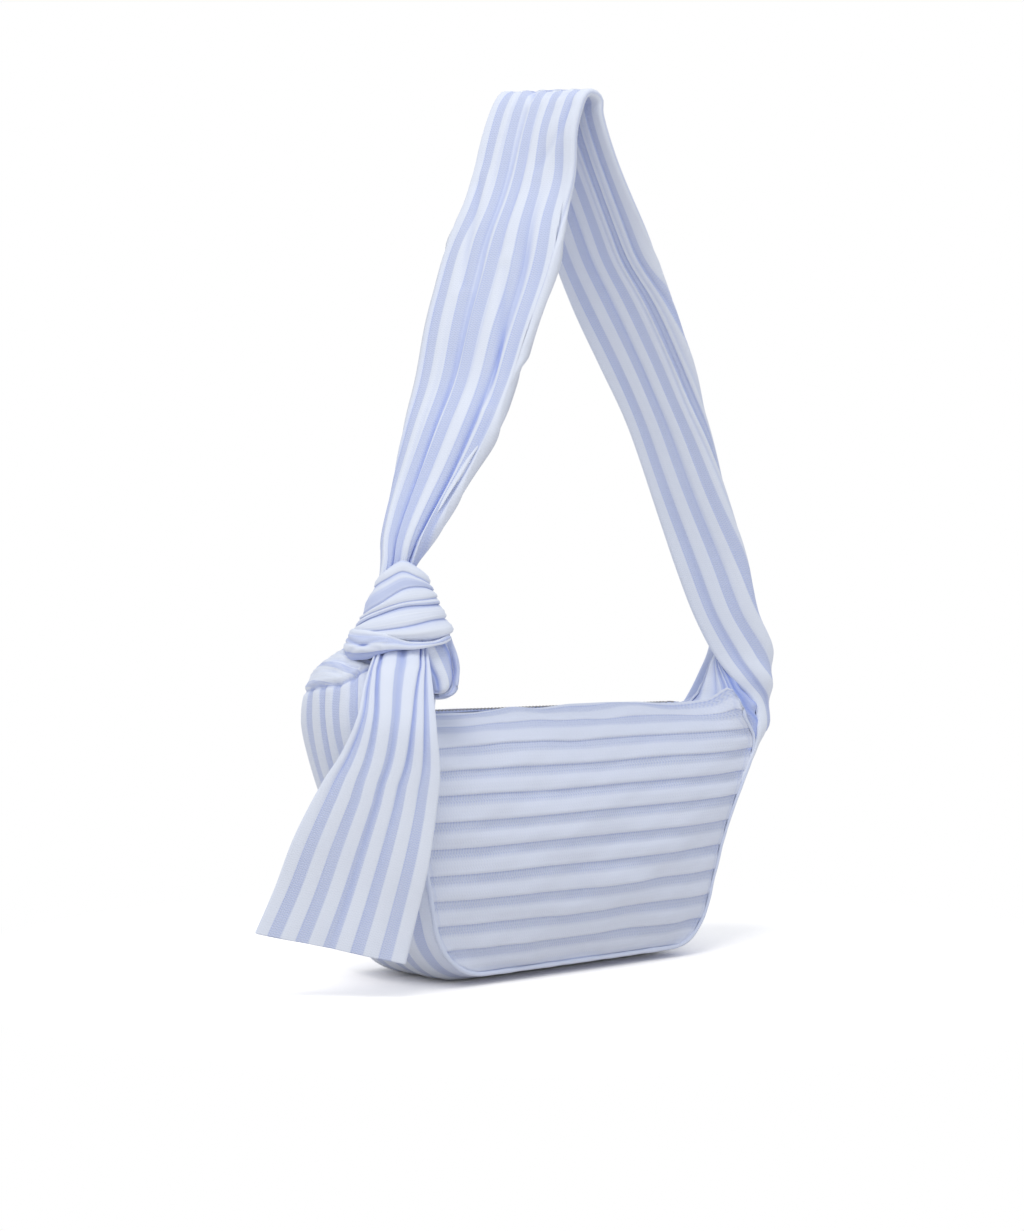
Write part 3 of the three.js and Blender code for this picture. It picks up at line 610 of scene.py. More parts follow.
def stripedBand(name, net, look, material, start=0.0, end=1.0):
    # a striped double layer along a net, with its folds and gathers
    shares, run = evenShares(net, look["step"], start, end)
    beyond = 2e-3  # one more row past each cut, so that two cloths in one line share their slope
    before = [start - beyond] if start > beyond else []
    after = [end + beyond] if end < 1 - beyond else []
    shares = np.concatenate([before, shares, after])
    own = slice(len(before), len(shares) - len(after))
    fine = smoothNet(net, shares, np.linspace(0, 1, 73))
    columns = stripeColumns(look["stripes"])
    valley = 1 - ridge(columns)
    keep, sink = gathersAndFolds(look, shares, columns, valley)
    steps = (keep[:, 1:] + keep[:, :-1]) / 2 * np.diff(columns)
    spots = np.concatenate([np.zeros((len(shares), 1)), np.cumsum(steps, 1)], 1)
    points = spreadAcross(fine, spots / spots[:, -1:])
    normal = outwards(points)[own]
    points, shares, sink = points[own], shares[own], sink[own]
    half = np.interp(shares, *zip(*look["half"]))[:, None]
    width = look["stripeWidth"]
    fromRim = np.minimum(columns, look["stripes"] - columns) * width
    rim = np.sqrt(1 - (1 - np.clip(fromRim / look["rimRadius"], 0, 1)) ** 2)
    rim = np.maximum(rim, 0.12)[None]
    sink = np.minimum(sink, half * 0.82)
    creases = creaseRelief(look, shares, run, columns)
    across = columns[None] * width
    stray = 0.03 * ripple(run[:, None], across * 1.5, look["seed"] + 50, 120)
    stripe = columns[None] / 2 + stray * np.clip(fromRim / width, 0, 1)[None]
    below = 1
    if "lap" in look:
        # cloth from above folds down over the stripes along a slanting line, and its stripes run across
        lap = look["lap"]
        lapRun = np.interp(np.interp(columns, *zip(*lap["line"])), shares, run)
        past = run[:, None] - lapRun[None]
        below = 1 / (1 + np.exp(-np.clip(past / 0.5, -30, 30)))
        step = lap["depth"] * np.exp(-(past / lap["width"]) ** 2)
        lip = lap["lip"] * np.exp(-((past + 1.9 * lap["width"]) / (1.5 * lap["width"])) ** 2)
        sink = sink * below + creases * (1 - 0.8 * below) + step - lip
        above = run[:, None] / lap["pair"] + columns[None] * 0.05
        part = above % 1
        white = lap["white"]
        part = np.where(part < white, 0.5 * part / white, 0.5 + 0.5 * (part - white) / (1 - white))
        stripe = np.where(past < 0, np.floor(above) + part, stripe)
    else:
        sink = sink + creases
    valley = valley[None] * below
    lower = look["rib"] * valley + sink
    waves = look["wave"] * ripple(run[:, None], across, look["seed"], look["waveSize"])
    waves = waves * np.interp(shares, *zip(*look.get("calm", [(0, 1), (1, 1)])))[:, None]
    outer = points + normal * ((half - lower) * rim + waves)[..., None]
    inner = points - normal * ((half - lower) * rim - waves)[..., None]
    # painted shade, full at the look's depth in folds and creases, and faint on the blue valleys
    paintedShade = sink / look["shadeDepth"] + valley * 0.06
    paintedShade = np.stack([paintedShade, paintedShade])
    # painted shade patches where the cloth lies in shadow
    for shadePatch in look.get("shadePatches", ()):
        patch = bumpAt(columns, shadePatch["at"], shadePatch["half"])
        patch = np.outer(np.interp(shares, *zip(*shadePatch["amount"])), patch)
        for layer in shadePatch.get("layers", (0, 1)):
            paintedShade[layer] += patch
    return closedCloth(name, outer, inner, run[:, None] / 10, stripe, paintedShade, material)


# bag body

bag = {
    "height": 168,
    "topHalf": 150,
    "floorHalf": 85,
    "cornerRadius": 40,
    "gussetHalf": 46,
    "seamLift": 8,
    "panelSwell": 14,
    "endSwell": 8,
    "floorPress": 0.3,
    "zipHalf": 9,
    "zipSlope": 5.5 / 248,
    "cloth": 3,
}
cornerZ = bag["seamLift"] + bag["cornerRadius"]
toTop = (bag["topHalf"] - bag["floorHalf"], bag["height"] - cornerZ)
toTopLength = math.hypot(*toTop)
sideTurn = math.atan2(toTop[1], toTop[0]) - math.acos(bag["cornerRadius"] / toTopLength)
arcLength = bag["cornerRadius"] * (sideTurn + math.pi / 2)
seamHalf = bag["floorHalf"] + arcLength + math.sqrt(toTopLength ** 2 - bag["cornerRadius"] ** 2)


def seamAt(distance):
    # place and outward direction of the long seam, at a signed distance from the middle of the bottom
    run = abs(distance)
    side = -1 if distance < 0 else 1
    if run <= bag["floorHalf"]:
        return distance, bag["seamLift"], 0.0, -1.0
    angle = min((run - bag["floorHalf"]) / bag["cornerRadius"] - math.pi / 2, sideTurn)
    rise = max(run - bag["floorHalf"] - arcLength, 0)
    x = bag["floorHalf"] + bag["cornerRadius"] * math.cos(angle) - rise * math.sin(sideTurn)
    z = cornerZ + bag["cornerRadius"] * math.sin(angle) + rise * math.cos(sideTurn)
    return side * x, z, side * math.cos(angle), math.sin(angle)


def halfLengthAt(z, inset=0.0):
    radius = bag["cornerRadius"] - inset
    up = z - cornerZ
    joinUp = radius * math.sin(sideTurn)
    corner = bag["floorHalf"] + np.sqrt(np.clip(radius ** 2 - up ** 2, 0, None))
    side = bag["floorHalf"] + radius * math.cos(sideTurn) - (up - joinUp) * math.tan(sideTurn)
    return np.where(up < joinUp, corner, side)


settled = [  # height, and how far the right end leans out there once the bag is filled and stands
    (0, -5), (8, -6), (20, -7.5), (32, -8), (45, -7), (59, -4.5), (72, -3), (82, -0.5), (92, 2),
    (100, 4.5), (108, 7.5), (118, 11), (125, 13.2), (131, 14.8), (138, 15), (144, 13.2), (150, 8),
    (156, 2.6), (163, -0.4), (170, 0),
]


def settle(points):
    points = np.array(points, float)
    near = np.clip((points[..., 0] - 30) / 100, 0, 1)
    lean = np.interp(points[..., 2], *zip(*settled))
    points[..., 0] += lean * near * near * (3 - 2 * near)
    return points


panelSection = [  # share of the swell, share of the way in to the zip, share of the height
    (0, 0, 0), (0.5, 0, 0.0875), (0.86, 0, 0.231), (1, 0, 0.356), (1, 0.02, 0.481), (1, 0.08, 0.606),
    (1, 0.176, 0.7125), (1, 0.294, 0.806), (1, 0.47, 0.894), (1, 0.706, 0.9625), (1, 1, 1),
]
panelLook = {
    "pair": 16.4,  # one white and one blue stripe, down the cloth
    "firstLine": 1.5,  # lower edge of the first white stripe, down from the zip
    "rib": 1.9,
    "profile": [  # share of a pair from the white stripe's upper edge, and its height
        (0, 0.72), (0.05, 0.86), (0.12, 0.95), (0.25, 1), (0.38, 1.02), (0.45, 0.93), (0.485, 0.62),
        (0.505, 0.1), (0.53, 0), (0.58, 0.08), (0.7, 0.24), (0.85, 0.42), (0.95, 0.58), (1, 0.72),
    ],
    "rows": [0, 0.05, 0.12, 0.25, 0.38, 0.45, 0.485, 0.505, 0.53, 0.58, 0.7, 0.85, 0.95],
    "bellyPower": 2.6,
    "mouthPower": 11,
    "wander": 0.035,  # how far a stripe's line strays, as a share of a pair
    "dent": 0.9,
    "columns": 92,
    "topRows": [0, 0.35, 0.9],  # rows of the edge at the zip, down the cloth
    "lastRow": 0.5,  # the last row but one, up from the bottom seam
    "noRib": 1.4,  # no rib's row lies closer than that to either of those two edges
    "calmSeam": 7,  # the ribs come up to their height over that length from the end seams
    "calmEdge": 2.2,  # and over that length from the zip and the bottom
    "calmTop": (40, 0.45),  # at the zip they keep only that share, and are full that far down
    "seamPinch": 0.6,
    "seamIn": 3.4,  # a stitched line that far inside the panel's border
    "seamWidth": 0.9,
    "seamDepth": 0.5,
}


def panelPoints(side, u, v, inset=0.0):
    section = throughRows(panelSection, v.ravel()).reshape(*v.shape, 3)
    swell, close, rise = section[..., 0], section[..., 1], section[..., 2]
    z = bag["seamLift"] + (bag["height"] - bag["seamLift"]) * rise
    middle = bag["gussetHalf"] + bag["panelSwell"] * swell
    middle = middle + (bag["zipHalf"] - middle) * close
    x = u * halfLengthAt(z, inset)
    power = panelLook["bellyPower"] + (panelLook["mouthPower"] - panelLook["bellyPower"]) * v ** 4
    fall = np.abs(x / halfLengthAt(z)) ** power
    lift = -x * bag["zipSlope"] * (1 - np.abs(x / bag["topHalf"]) ** 8) * rise ** 3
    return np.stack([x, side * (middle + (bag["gussetHalf"] - middle) * fall), z + lift], -1)


edgeWaves = {  # how far the top edge rises along the bag; the front's right corner stands up as a soft flap
    -1: [
        (-150, 0), (-125, 0), (-95, -0.7), (-60, -0.9), (-45, 0), (-30, 1.9), (-12, 0.7), (-4, 0.1),
        (4, 0.9), (22, 2.3), (58, 2.5), (86, 2.0), (103, 0.8), (116, 0.3), (128, 0.6), (137, 1.4),
        (140.5, 3.6), (143, 7), (145, 9), (146, 9.2), (147, 7.4), (148.3, 2.8), (149.3, -4.5), (150, -11),
    ],
    1: [
        (-150, -1), (-125, 0), (-60, 0.5), (0, -0.4), (60, 0.3), (95, -1), (125, -6), (138, -13),
        (150, -24),
    ],
}


edgeReach = {-1: 30, 1: 45}  # how far down the cloth the edge's rise fades out


def edgeRise(points, side, down):
    share = np.clip(1 - down / edgeReach[side], 0, 1) ** 1.6
    return share * np.interp(points[..., 0], *zip(*edgeWaves[side]))


def panelCloth(name, side, look, seed):
    fine = np.linspace(0, 1, 900)
    section = panelPoints(side, np.zeros(900), fine)
    down = runLength(section)[-1] - runLength(section)
    pair = look["pair"]
    first = look["firstLine"] - pair / 2
    count = int(down[0] / pair) + 3
    places = np.array([first + (k + row) * pair for k in range(-1, count) for row in look["rows"]])
    ribbed = places[(places > look["noRib"]) & (places < down[0] - look["noRib"])]
    places = np.concatenate([look["topRows"], ribbed, [down[0] - look["lastRow"], down[0]]])
    even = np.linspace(-1, 1, look["columns"])
    u = -side * (np.sin(even * math.pi / 2) * 0.55 + even * 0.45)
    x = u * bag["topHalf"]
    stray = pair * look["wander"] * ripple(x[None], places[:, None] * 2.2, seed, 150)
    stray = stray * np.clip(np.minimum(places, down[0] - places) / 8, 0, 1)[:, None]
    v = np.interp(down[0] - (places[:, None] + stray), down[0] - down, fine)
    points = panelPoints(side, np.broadcast_to(u, v.shape), v)
    normal = outwards(points)
    share = ((places - first) / pair) % 1
    height = np.interp(share, *zip(*look["profile"]))[:, None]
    atSeam = np.clip((1 - np.abs(u)) * bag["topHalf"] / look["calmSeam"], 0, 1)[None]
    rim = np.clip(np.minimum(places, down[0] - places) / look["calmEdge"], 0, 1)[:, None]
    dents = look["dent"] * ripple(x[None], places[:, None] * 1.4, seed + 1, 90)
    dents = dents + 0.5 * look["dent"] * ripple(x[None] * 0.7, places[:, None] * 2, seed + 2, 34)
    puff = look["seamPinch"] * (height - 0.5) * (1 - atSeam)
    topReach, topShare = look["calmTop"]
    relief = look["rib"] * (height - 1) * (0.1 + 0.9 * atSeam) * rim
    relief = relief * np.clip(places / topReach, topShare, 1)[:, None]
    relief = relief + dents * atSeam * rim + puff * rim
    fromBorder = np.minimum((1 - np.abs(u)) * bag["topHalf"], (down[0] - places)[:, None])
    seam = np.exp(-((fromBorder - look["seamIn"]) / look["seamWidth"]) ** 2)
    relief = relief - look["seamDepth"] * seam
    points[..., 2] += edgeRise(points, side, places[:, None])
    points = settle(points)
    outer = points + normal * relief[..., None]
    thickness = bag["cloth"] * np.sqrt(np.clip(np.minimum(places, down[0] - places) / 1.6, 0.05, 1))[:, None]
    inner = points - normal * (thickness + 0 * relief)[..., None]
    stripe = (places - first) / pair
    # painted shade in the rib valleys and along the stitched seam
    paintedShade = (1 - height) * 0.1 + 0.3 * seam
    cloth = closedCloth(name, outer, inner, x[None] / 10 + 0 * v, stripe[:, None], paintedShade, panelKnitCloth)
    border = np.concatenate([points[:, 0], points[-1, 1:-1], points[::-1, -1]])
    return cloth, border, down[0]


frontPanelCloth, frontBorder, panelDown = panelCloth("frontPanelCloth", -1, panelLook, 11)
backPanelCloth, backBorder, _ = panelCloth("backPanelCloth", 1, panelLook, 23)
for cloth, node in ((frontPanelCloth, "front_panel"), (backPanelCloth, "back_panel")):
    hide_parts(node)
    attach(cloth, "bag")
print("panels ready, %.0f mm down the cloth" % panelDown)

# The gusset is one band: from inside the knot down the left end, under the bag, up the right end,
# and on into the strap. The nets below are offsets from the top corners, front edge to back edge.

knotFrame = {"x": -122, "y": -12, "z": 222, "turn": math.radians(42), "depth": 0.85}
knotTop = 264.3
tabNet = [
    [(22, -11, 50), (23, -7, 54), (25, -4, 56), (27, -3, 54), (29, -2, 50)],
    [(18, -15.5, 42), (17.5, -8.5, 46), (20.5, -4.5, 48), (23.5, -3, 46), (25.5, -1.5, 43)],
    [(14, -13, 35), (12, -3, 41), (12, 4, 44), (12, 11, 43), (12, 17, 38)],
    [(7, -17, 30), (2, -4, 36), (1, 8, 39), (0, 17, 37), (2, 27, 33)],
    [(0, -25, 21), (-8, -8, 26), (-10, 8, 28), (-9, 23, 27), (-5, 36, 23)],
    [(-4, -36, 4), (-13, -16, 7), (-15, 6, 8), (-13, 24, 7), (-9, 41, 5)],
    [(-2, -44, -18), (-10, -22, -17), (-12, 0, -16), (-10, 22, -16), (-5, 45, -18)],
]
rootNet = [
    [(9.5, -48, -33), (20, -33, -33), (23, -8, -33), (19, 20, -33), (9.5, 45, -33)],
    [(12, -48, -19), (28, -41, -19), (31, -14, -19), (25, 14, -19), (14, 38, -19)],
    [(17, -39, -3), (32, -37, -3), (35, -14, -3), (30, 10, -3), (22, 31, -3)],
    [(6, -28, 14), (28, -43, 14), (38, -26, 14), (36, 1, 14), (27, 24, 14)],
    [(-1.5, -17, 32), (17, -33, 32), (34, -39, 32), (36, -12, 32), (28, 15, 32)],
]
climbNet = [  # share of the way to the crest, then offsets from the line that joins corner and crest
    (0.147, (7.6, -9), (24, -24), (41, -37), (47, -18), (47, 8)),
    (0.224, (7.7, -3), (25.7, -19), (43.7, -34), (51.7, -17), (52.7, 5)),
    (0.291, (9.9, 3), (27, -15), (43, -31), (53, -18), (55, 2)),
    (0.403, (11, 10), (26, -8), (40, -25), (51, -22), (55, -3)),
    (0.48, (10, 15), (24, -4), (38, -23), (48, -24), (53, -8)),
    (0.567, (6, 22), (20, 3), (33, -17), (43, -28), (50, -14)),
    (0.667, (1, 30), (13, 9), (24, -12), (34, -30), (42, -21)),
    (0.764, (0, 36), (8, 14), (16, -8), (22, -28), (27, -34)),
    (0.896, (0, 40), (2, 20), (4, -1), (6, -22), (7, -41)),
    (0.96, (3.4, 42), (3.6, 21), (3.8, 0), (3.6, -21), (3.4, -42)),
    (0.987, (5.5, 43), (5.5, 21), (5.5, 0), (5.5, -21), (5.5, -43)),
    (0.998, (3.2, 43), (3.2, 21), (3.2, 0), (3.2, -21), (3.2, -43)),
    (1, (0, 43), (0, 21), (0, 0), (0, -21), (0, -43)),
]
crest = {"x": 13, "z": 570, "drop": 1.5, "lean": 0.07}  # its front end is lower than its back end


def atCrest(x, y, z, share):
    near = max(share - 0.78, 0) / 0.22
    return x, y, z + near * near * (crest["lean"] * y - crest["drop"])


def uRows():
    # rows across the gusset's outside, down the left end, along the bottom and up the right end
    rows = []
    reach = seamHalf - 62
    for distance in np.linspace(-reach, reach, 27):
        x, z, outX, outZ = seamAt(distance)
        down = max(-outZ, 0) ** 2
        row = []
        for across in (-1, -0.5, 0, 0.5, 1):
            swell = 1.08 * (1 - abs(across) ** (2 + 2 * down))
            bow = bag["endSwell"] * min(swell, 1 - bag["floorPress"] * down)
            row.append((x + outX * bow, across * (bag["gussetHalf"] - 0.4), z + outZ * bow))
        rows.append(settle(row).tolist())
    return rows


def between(low, high, share):
    return low + (high - low) * share


leftRows = [[(x - bag["topHalf"], y, z + bag["height"]) for x, y, z in row] for row in tabNet]
rootRows = [[(x + bag["topHalf"], y, z + bag["height"]) for x, y, z in row] for row in rootNet]
climbRows = []
for share, *row in climbNet:
    x, z = between(bag["topHalf"], crest["x"], share), between(bag["height"], crest["z"], share)
    climbRows.append([atCrest(x + offX, y, z, share) for offX, y in row])
bandNet = leftRows + uRows() + rootRows + climbRows
bandLast = len(bandNet) - 1
splitAt = len(leftRows) + 26  # the gusset's last row below the strap's root
splitShare = splitAt / bandLast
print("band net of %d rows" % len(bandNet))


def byRow(*places):
    # rows of the band's net as shares of its length, each with its value
    return [(row / bandLast, value) for row, value in places]


lapLine = ((0, 2.8), (1.5, 3.1), (2.6, 3.6), (3.6, 4.0), (5, 4.3), (7.5, 4.42), (11, 4.5))  # stripe and row
tabCreases = (  # from row and stripe, to row and stripe, width, depth, bow
    (2.75, 1.5, 2.95, 10.5, 1.2, 1.5, -2),
    (3.2, 2.2, 3.3, 10.6, 1.0, 1.3, -2.5),
    (3.6, 3.4, 3.65, 10.6, 1.2, 1.6, -2),
    (4.0, 5, 3.95, 10.4, 1.0, 1.2, -1.5),
    (3.42, 5.2, 3.5, 10.8, 0.7, 0.8, -1),
    (3.8, 6.6, 3.85, 10.8, 0.7, 0.8, -1),
)
gussetLook = {
    "stripes": 11,
    "stripeWidth": 8.5,
    "gather": byRow((0, 0.5), (2, 0.3), (4, 0.22), (6, 0.05), (8, 0), (bandLast, 0)),
    "gatherDepth": 3,
    "lap": {
        "line": [(stripe, row / bandLast) for stripe, row in lapLine],
        "depth": 1.8,
        "width": 1.5,
        "lip": 0.7,
        "pair": 13,  # the stripes run across above that line
        "white": 0.7,  # the white stripe's share of a pair there
    },
    "half": byRow((0, 5), (1, 4.5), (3, 3), (6, 2), (splitAt, 1.6)),
    "rimRadius": 2,
    "rib": 0.7,
    "wave": 0.5,
    "waveSize": 60,
    "calm": byRow((8, 1), (10, 0.5), (splitAt - 2, 0.5), (splitAt, 0)),
    "seed": 5,
    "step": 1.5,
    "folds": [
        foldAt(1.0, 0.5, 1.6, 0.9, *byRow((0, 0.6), (3, 1), (5, 0.6), (7, 0))),
        foldAt(3.0, 0.4, 1.2, 0.9, *byRow((3.8, 0), (4.6, 1), (7, 0))),
        foldAt(7.1, 0.4, 1.2, 0.9, *byRow((4.2, 0), (5, 1), (8, 0))),
    ],
    "shadeDepth": 3.2,
    "creases": [(a / bandLast, b, c / bandLast, *rest) for a, b, c, *rest in tabCreases],
    # painted shade: on the tab under the roll, and along the underside by the front and back edges
    "shadePatches": [
        {"at": 0.5, "half": 4.5, "amount": byRow((0, 0.95), (2.6, 0.9), (3.2, 0.8), (3.8, 0.3), (4.5, 0))},
        {"at": 0, "half": 3, "amount": byRow((11, 0), (15, 0.6), (27, 0.95), (29, 0.1), (bandLast, 0))},
        {"at": 11, "half": 2.2, "amount": byRow((12, 0), (17, 0.3), (26, 0.3), (29, 0))},
    ],
}
runFade = byRow((splitAt + 3, 0), (splitAt + 5, 1), (bandLast - 5, 1), (bandLast - 2, 0.3), (bandLast, 0))
strapLook = {  # what both sides of the strap share
    "stripes": 11,
    "stripeWidth": 8.6,
    "rimRadius": 2.4,
    "rib": 0.55,
    "wave": 0.7,
    "waveSize": 80,
    "step": 3.2,
}
tuckedFolds = ((6.55, 0.3, 1.1), (7.2, 0.28, 1.0), (7.8, 0.26, 1.1), (8.45, 0.28, 1.1), (9.2, 0.3, 1.0))
middleFade = byRow((splitAt + 5, 0), (bandLast - 8, 0.8), (bandLast, 0.9))
outerFade = byRow((0, 0), (splitAt + 4, 0.9), (bandLast - 8, 0.2), (bandLast, 0))
strapRightLook = strapLook | {
    "gather": byRow((splitAt, 0), (splitAt + 3, 0.12), (splitAt + 8, 0.05), (bandLast, 0)),
    "gatherDepth": 3,
    "half": byRow((splitAt, 1.6), (splitAt + 4, 2.2), (bandLast, 2.4)),
    "calm": byRow((splitAt, 0), (splitAt + 3, 1), (bandLast - 2, 1), (bandLast, 0.6)),
    "seed": 9,
    "shadeDepth": 3,
    "folds": [
        foldAt(at, half, depth, 0.35, *runFade) for at, half, depth in tuckedFolds
    ] + [
        foldAt(3.9, 0.5, 0.9, 0.25, *middleFade),
        foldAt(1.6, 0.4, 0.9, 0.3, *outerFade),
    ],
    "shadePatches": [  # blue shade at the root, on the side that faces into the loop
        {"at": 9.5, "half": 4.5, "amount": byRow((splitAt + 4, 0.6), (splitAt + 6, 0)), "layers": (0,)},
    ],
}

gussetCloth = stripedBand("gussetCloth", bandNet, gussetLook, ribKnitCloth, 0, splitShare)
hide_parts("gusset_band", "left_tab")
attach(gussetCloth, "bag")
print("gusset ready")

strapRightCloth = stripedBand("strapRightCloth", bandNet, strapRightLook, ribKnitCloth, splitShare, 1)
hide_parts("strap_right_run", "strap_root_right")
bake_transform(strapRightCloth)

# Left side of the strap: share of the way from the knot to the crest, then offsets from the line between
# them. The first and last column curl behind, out of the photo's sight.
leftNet = [
    (-0.07, (0, 4), (-2.5, 3), (-1, -1), (4, -2), (5, 0)),
    (0, (-0.8, 7.4), (-4.6, 6.1), (-1, -1.1), (6.6, -3.9), (7.4, 0)),
    (0.059, (2, 15.7), (-3.5, 15.3), (-1, 0), (8, -12.6), (8.2, -7.4)),
    (0.164, (7.8, 26.6), (1, 27.3), (3, 1), (13.2, -22.6), (12.2, -16.4)),
    (0.283, (8.1, 34.4), (2.1, 34.5), (5, 1), (17.5, -30.6), (16.8, -24.6)),
    (0.398, (7, 38), (3, 39), (7, 1), (19, -34), (17, -30)),
    (0.553, (2, 41.5), (-2, 42.7), (3, 1), (16, -39), (12, -40)),
    (0.671, (-1, 43.5), (-4, 43), (1, 1), (12, -40), (10, -42)),
    (0.796, (-3, 43.5), (-4, 32), (0, 1), (8, -30), (8, -42)),
    (0.9, (-6, 43), (-5, 22), (-4, 0.6), (-2.6, -21), (-1.6, -42.4)),
    (0.96, (-6, 43), (-6, 21), (-5.6, 0), (-5.2, -21), (-4.8, -43)),
    (0.984, (-5, 43), (-5, 21), (-5, 0), (-5, -21), (-5, -43)),
    (0.9975, (-3, 43), (-3, 21), (-3, 0), (-3, -21), (-3, -43)),
    (1, (0, 43), (0, 21), (0, 0), (0, -21), (0, -43)),
]
leftStrapRows = []
for share, *row in leftNet:
    x, y = between(knotFrame["x"] + 1, crest["x"], share), between(-6, 0, share)
    z = between(knotTop, crest["z"], share)
    leftStrapRows.append([atCrest(x + offX, y + offY, z, share) for offX, offY in row])
strapLeftLook = strapLook | {
    "gather": [(0, 0.5), (0.15, 0.3), (0.4, 0.05), (0.85, 0), (1, 0.0)],
    "gatherDepth": 2.5,
    "half": [(0, 4.7), (0.12, 5), (0.22, 4.6), (0.35, 3.5), (0.6, 2.7), (1, 2.4)],
    "calm": [(0, 0.4), (0.2, 1), (0.9, 1), (1, 0.6)],
    "seed": 14,
    "folds": [
        foldAt(4.35, 0.75, 5, 0.9, (0, 1), (0.3, 1), (0.55, 0.55), (0.8, 0.25), (0.97, 0.2), (1, 0)),
        foldAt(8.2, 0.8, 5, 0.9, (0, 1), (0.25, 1), (0.5, 0.6), (0.62, 0)),
        foldAt(1.0, 0.45, 2.4, 0.9, (0, 0.8), (0.4, 0.3), (0.8, 0), (0.95, 0.5), (1, 0)),
        foldAt(2.7, 0.35, 1.4, 0.4, (0, 0.6), (0.3, 0.7), (0.5, 0.1), (0.7, 0.8), (0.95, 0.7), (1, 0.2)),
        foldAt(6.0, 0.35, 1.3, 0.4, (0, 0.8), (0.35, 0.6), (0.6, 0.9), (0.8, 0.3), (1, 0.5)),
        foldAt(9.6, 0.35, 1.3, 0.4, (0, 0.5), (0.3, 0.6), (0.55, 0.2), (0.85, 0.9), (1, 0.7)),
    ],
    "shadeDepth": 4.1,
    "creases": [  # from share and stripe, to share and stripe, width, depth, bow
        (0.99, 3.6, 0.86, 4.7, 2.6, 1.5, 1),
        (0.985, 6.9, 0.9, 6.3, 2.2, 1.3, -1),
        (0.985, 8.8, 0.87, 8.1, 2.2, 1.6, 1),
        (0.62, 1.2, 0.48, 3.1, 3.2, 1.1, 2),
        (0.5, 6.6, 0.34, 9.2, 3.0, 1.1, -2),
        (0.78, 9.9, 0.64, 7.4, 3.0, 0.9, 2),
    ],
}
strapLeftCloth = stripedBand("strapLeftCloth", leftStrapRows, strapLeftLook, ribKnitCloth)
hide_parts("strap_left_run", "knot_neck")
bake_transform(strapLeftCloth)
print("strap ready")

# welts along the two long seams

weltLook = {
    "radius": 1.5,
    "out": 1.1,
    "aside": 0.6,  # how much it stands out to the front or the back too, as a share of that
    "steps": 190,
    "sides": 10,
    "middle": (0, 0, 95),
    "slim": 0.3,
    "slimFrom": 90,  # it gets slimmer from there towards the right end
    "slimOver": 30,
    "taper": 9,
    "tip": 0.15,
    "lumps": ((0.06, 5.2), (0.05, 2.9)),  # share of the radius, and how slowly it comes and goes
}


def weltCord(name, border, side, look):
    run = runLength(border)
    places = np.linspace(0, run[-1], look["steps"])
    line = np.stack([np.interp(places, run, border[:, k]) for k in range(3)], 1)
    tangent = np.gradient(line, axis=0)
    out = np.stack([tangent[:, 2], 0 * places, -tangent[:, 0]], 1)
    out /= np.linalg.norm(out, axis=1, keepdims=True)
    out *= np.sign(((line - look["middle"]) * out).sum(1, keepdims=True))
    beside = np.array([0, side, 0])
    angles = np.linspace(0, 2 * math.pi, look["sides"], endpoint=False)
    rings = []
    for place, spot, away in zip(places, line, out):
        thin = 1 - look["slim"] * min(max((spot[0] - look["slimFrom"]) / look["slimOver"], 0), 1)
        thin *= min(look["tip"] + min(place, run[-1] - place) / look["taper"], 1)
        lumpy = 1 + sum(share * math.sin(place / pace) for share, pace in look["lumps"])
        radius = look["radius"] * thin * lumpy
        middle = spot + look["out"] * thin * (away + beside * look["aside"])
        rings.append([middle + radius * (math.cos(a) * away + math.sin(a) * beside) for a in angles])
    return closedTube(name, np.array(rings), places / 10, weltCloth, flip=side > 0)


welts = ((-1, frontBorder, "frontWelt", "front_seam_welt"), (1, backBorder, "backWelt", "back_seam_welt"))
for side, border, name, node in welts:
    welt = weltCord(name, border, side, weltLook)
    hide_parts(node)
    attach(welt, "bag")
print("welts ready")

# knot: a wrap with its folds, the roll under it, and the loop of cloth at its right

tiltR = np.array([math.cos(knotFrame["turn"]), -math.sin(knotFrame["turn"]), 0])
tiltD = np.array([math.sin(knotFrame["turn"]), math.cos(knotFrame["turn"]), 0])


def fromKnot(x, y, z):
    # from the knot's own directions to the bag's; z is already the height over the floor
    x, y, z = np.broadcast_arrays(x, y, z)
    flat = x[..., None] * tiltR + y[..., None] * tiltD
    return flat + np.stack([0 * x + knotFrame["x"], 0 * x + knotFrame["y"], z], -1)


def roundValues(values, angles):
    # smooth values round the knot, given every 45 degrees from its right end by way of the back
    values = np.asarray(values, float)
    count = len(values)
    ringed = np.concatenate([values[-1:], values, values[:2]])
    return throughRows(ringed, (np.mod(angles, 360) / 45 + 1) / (count + 2))


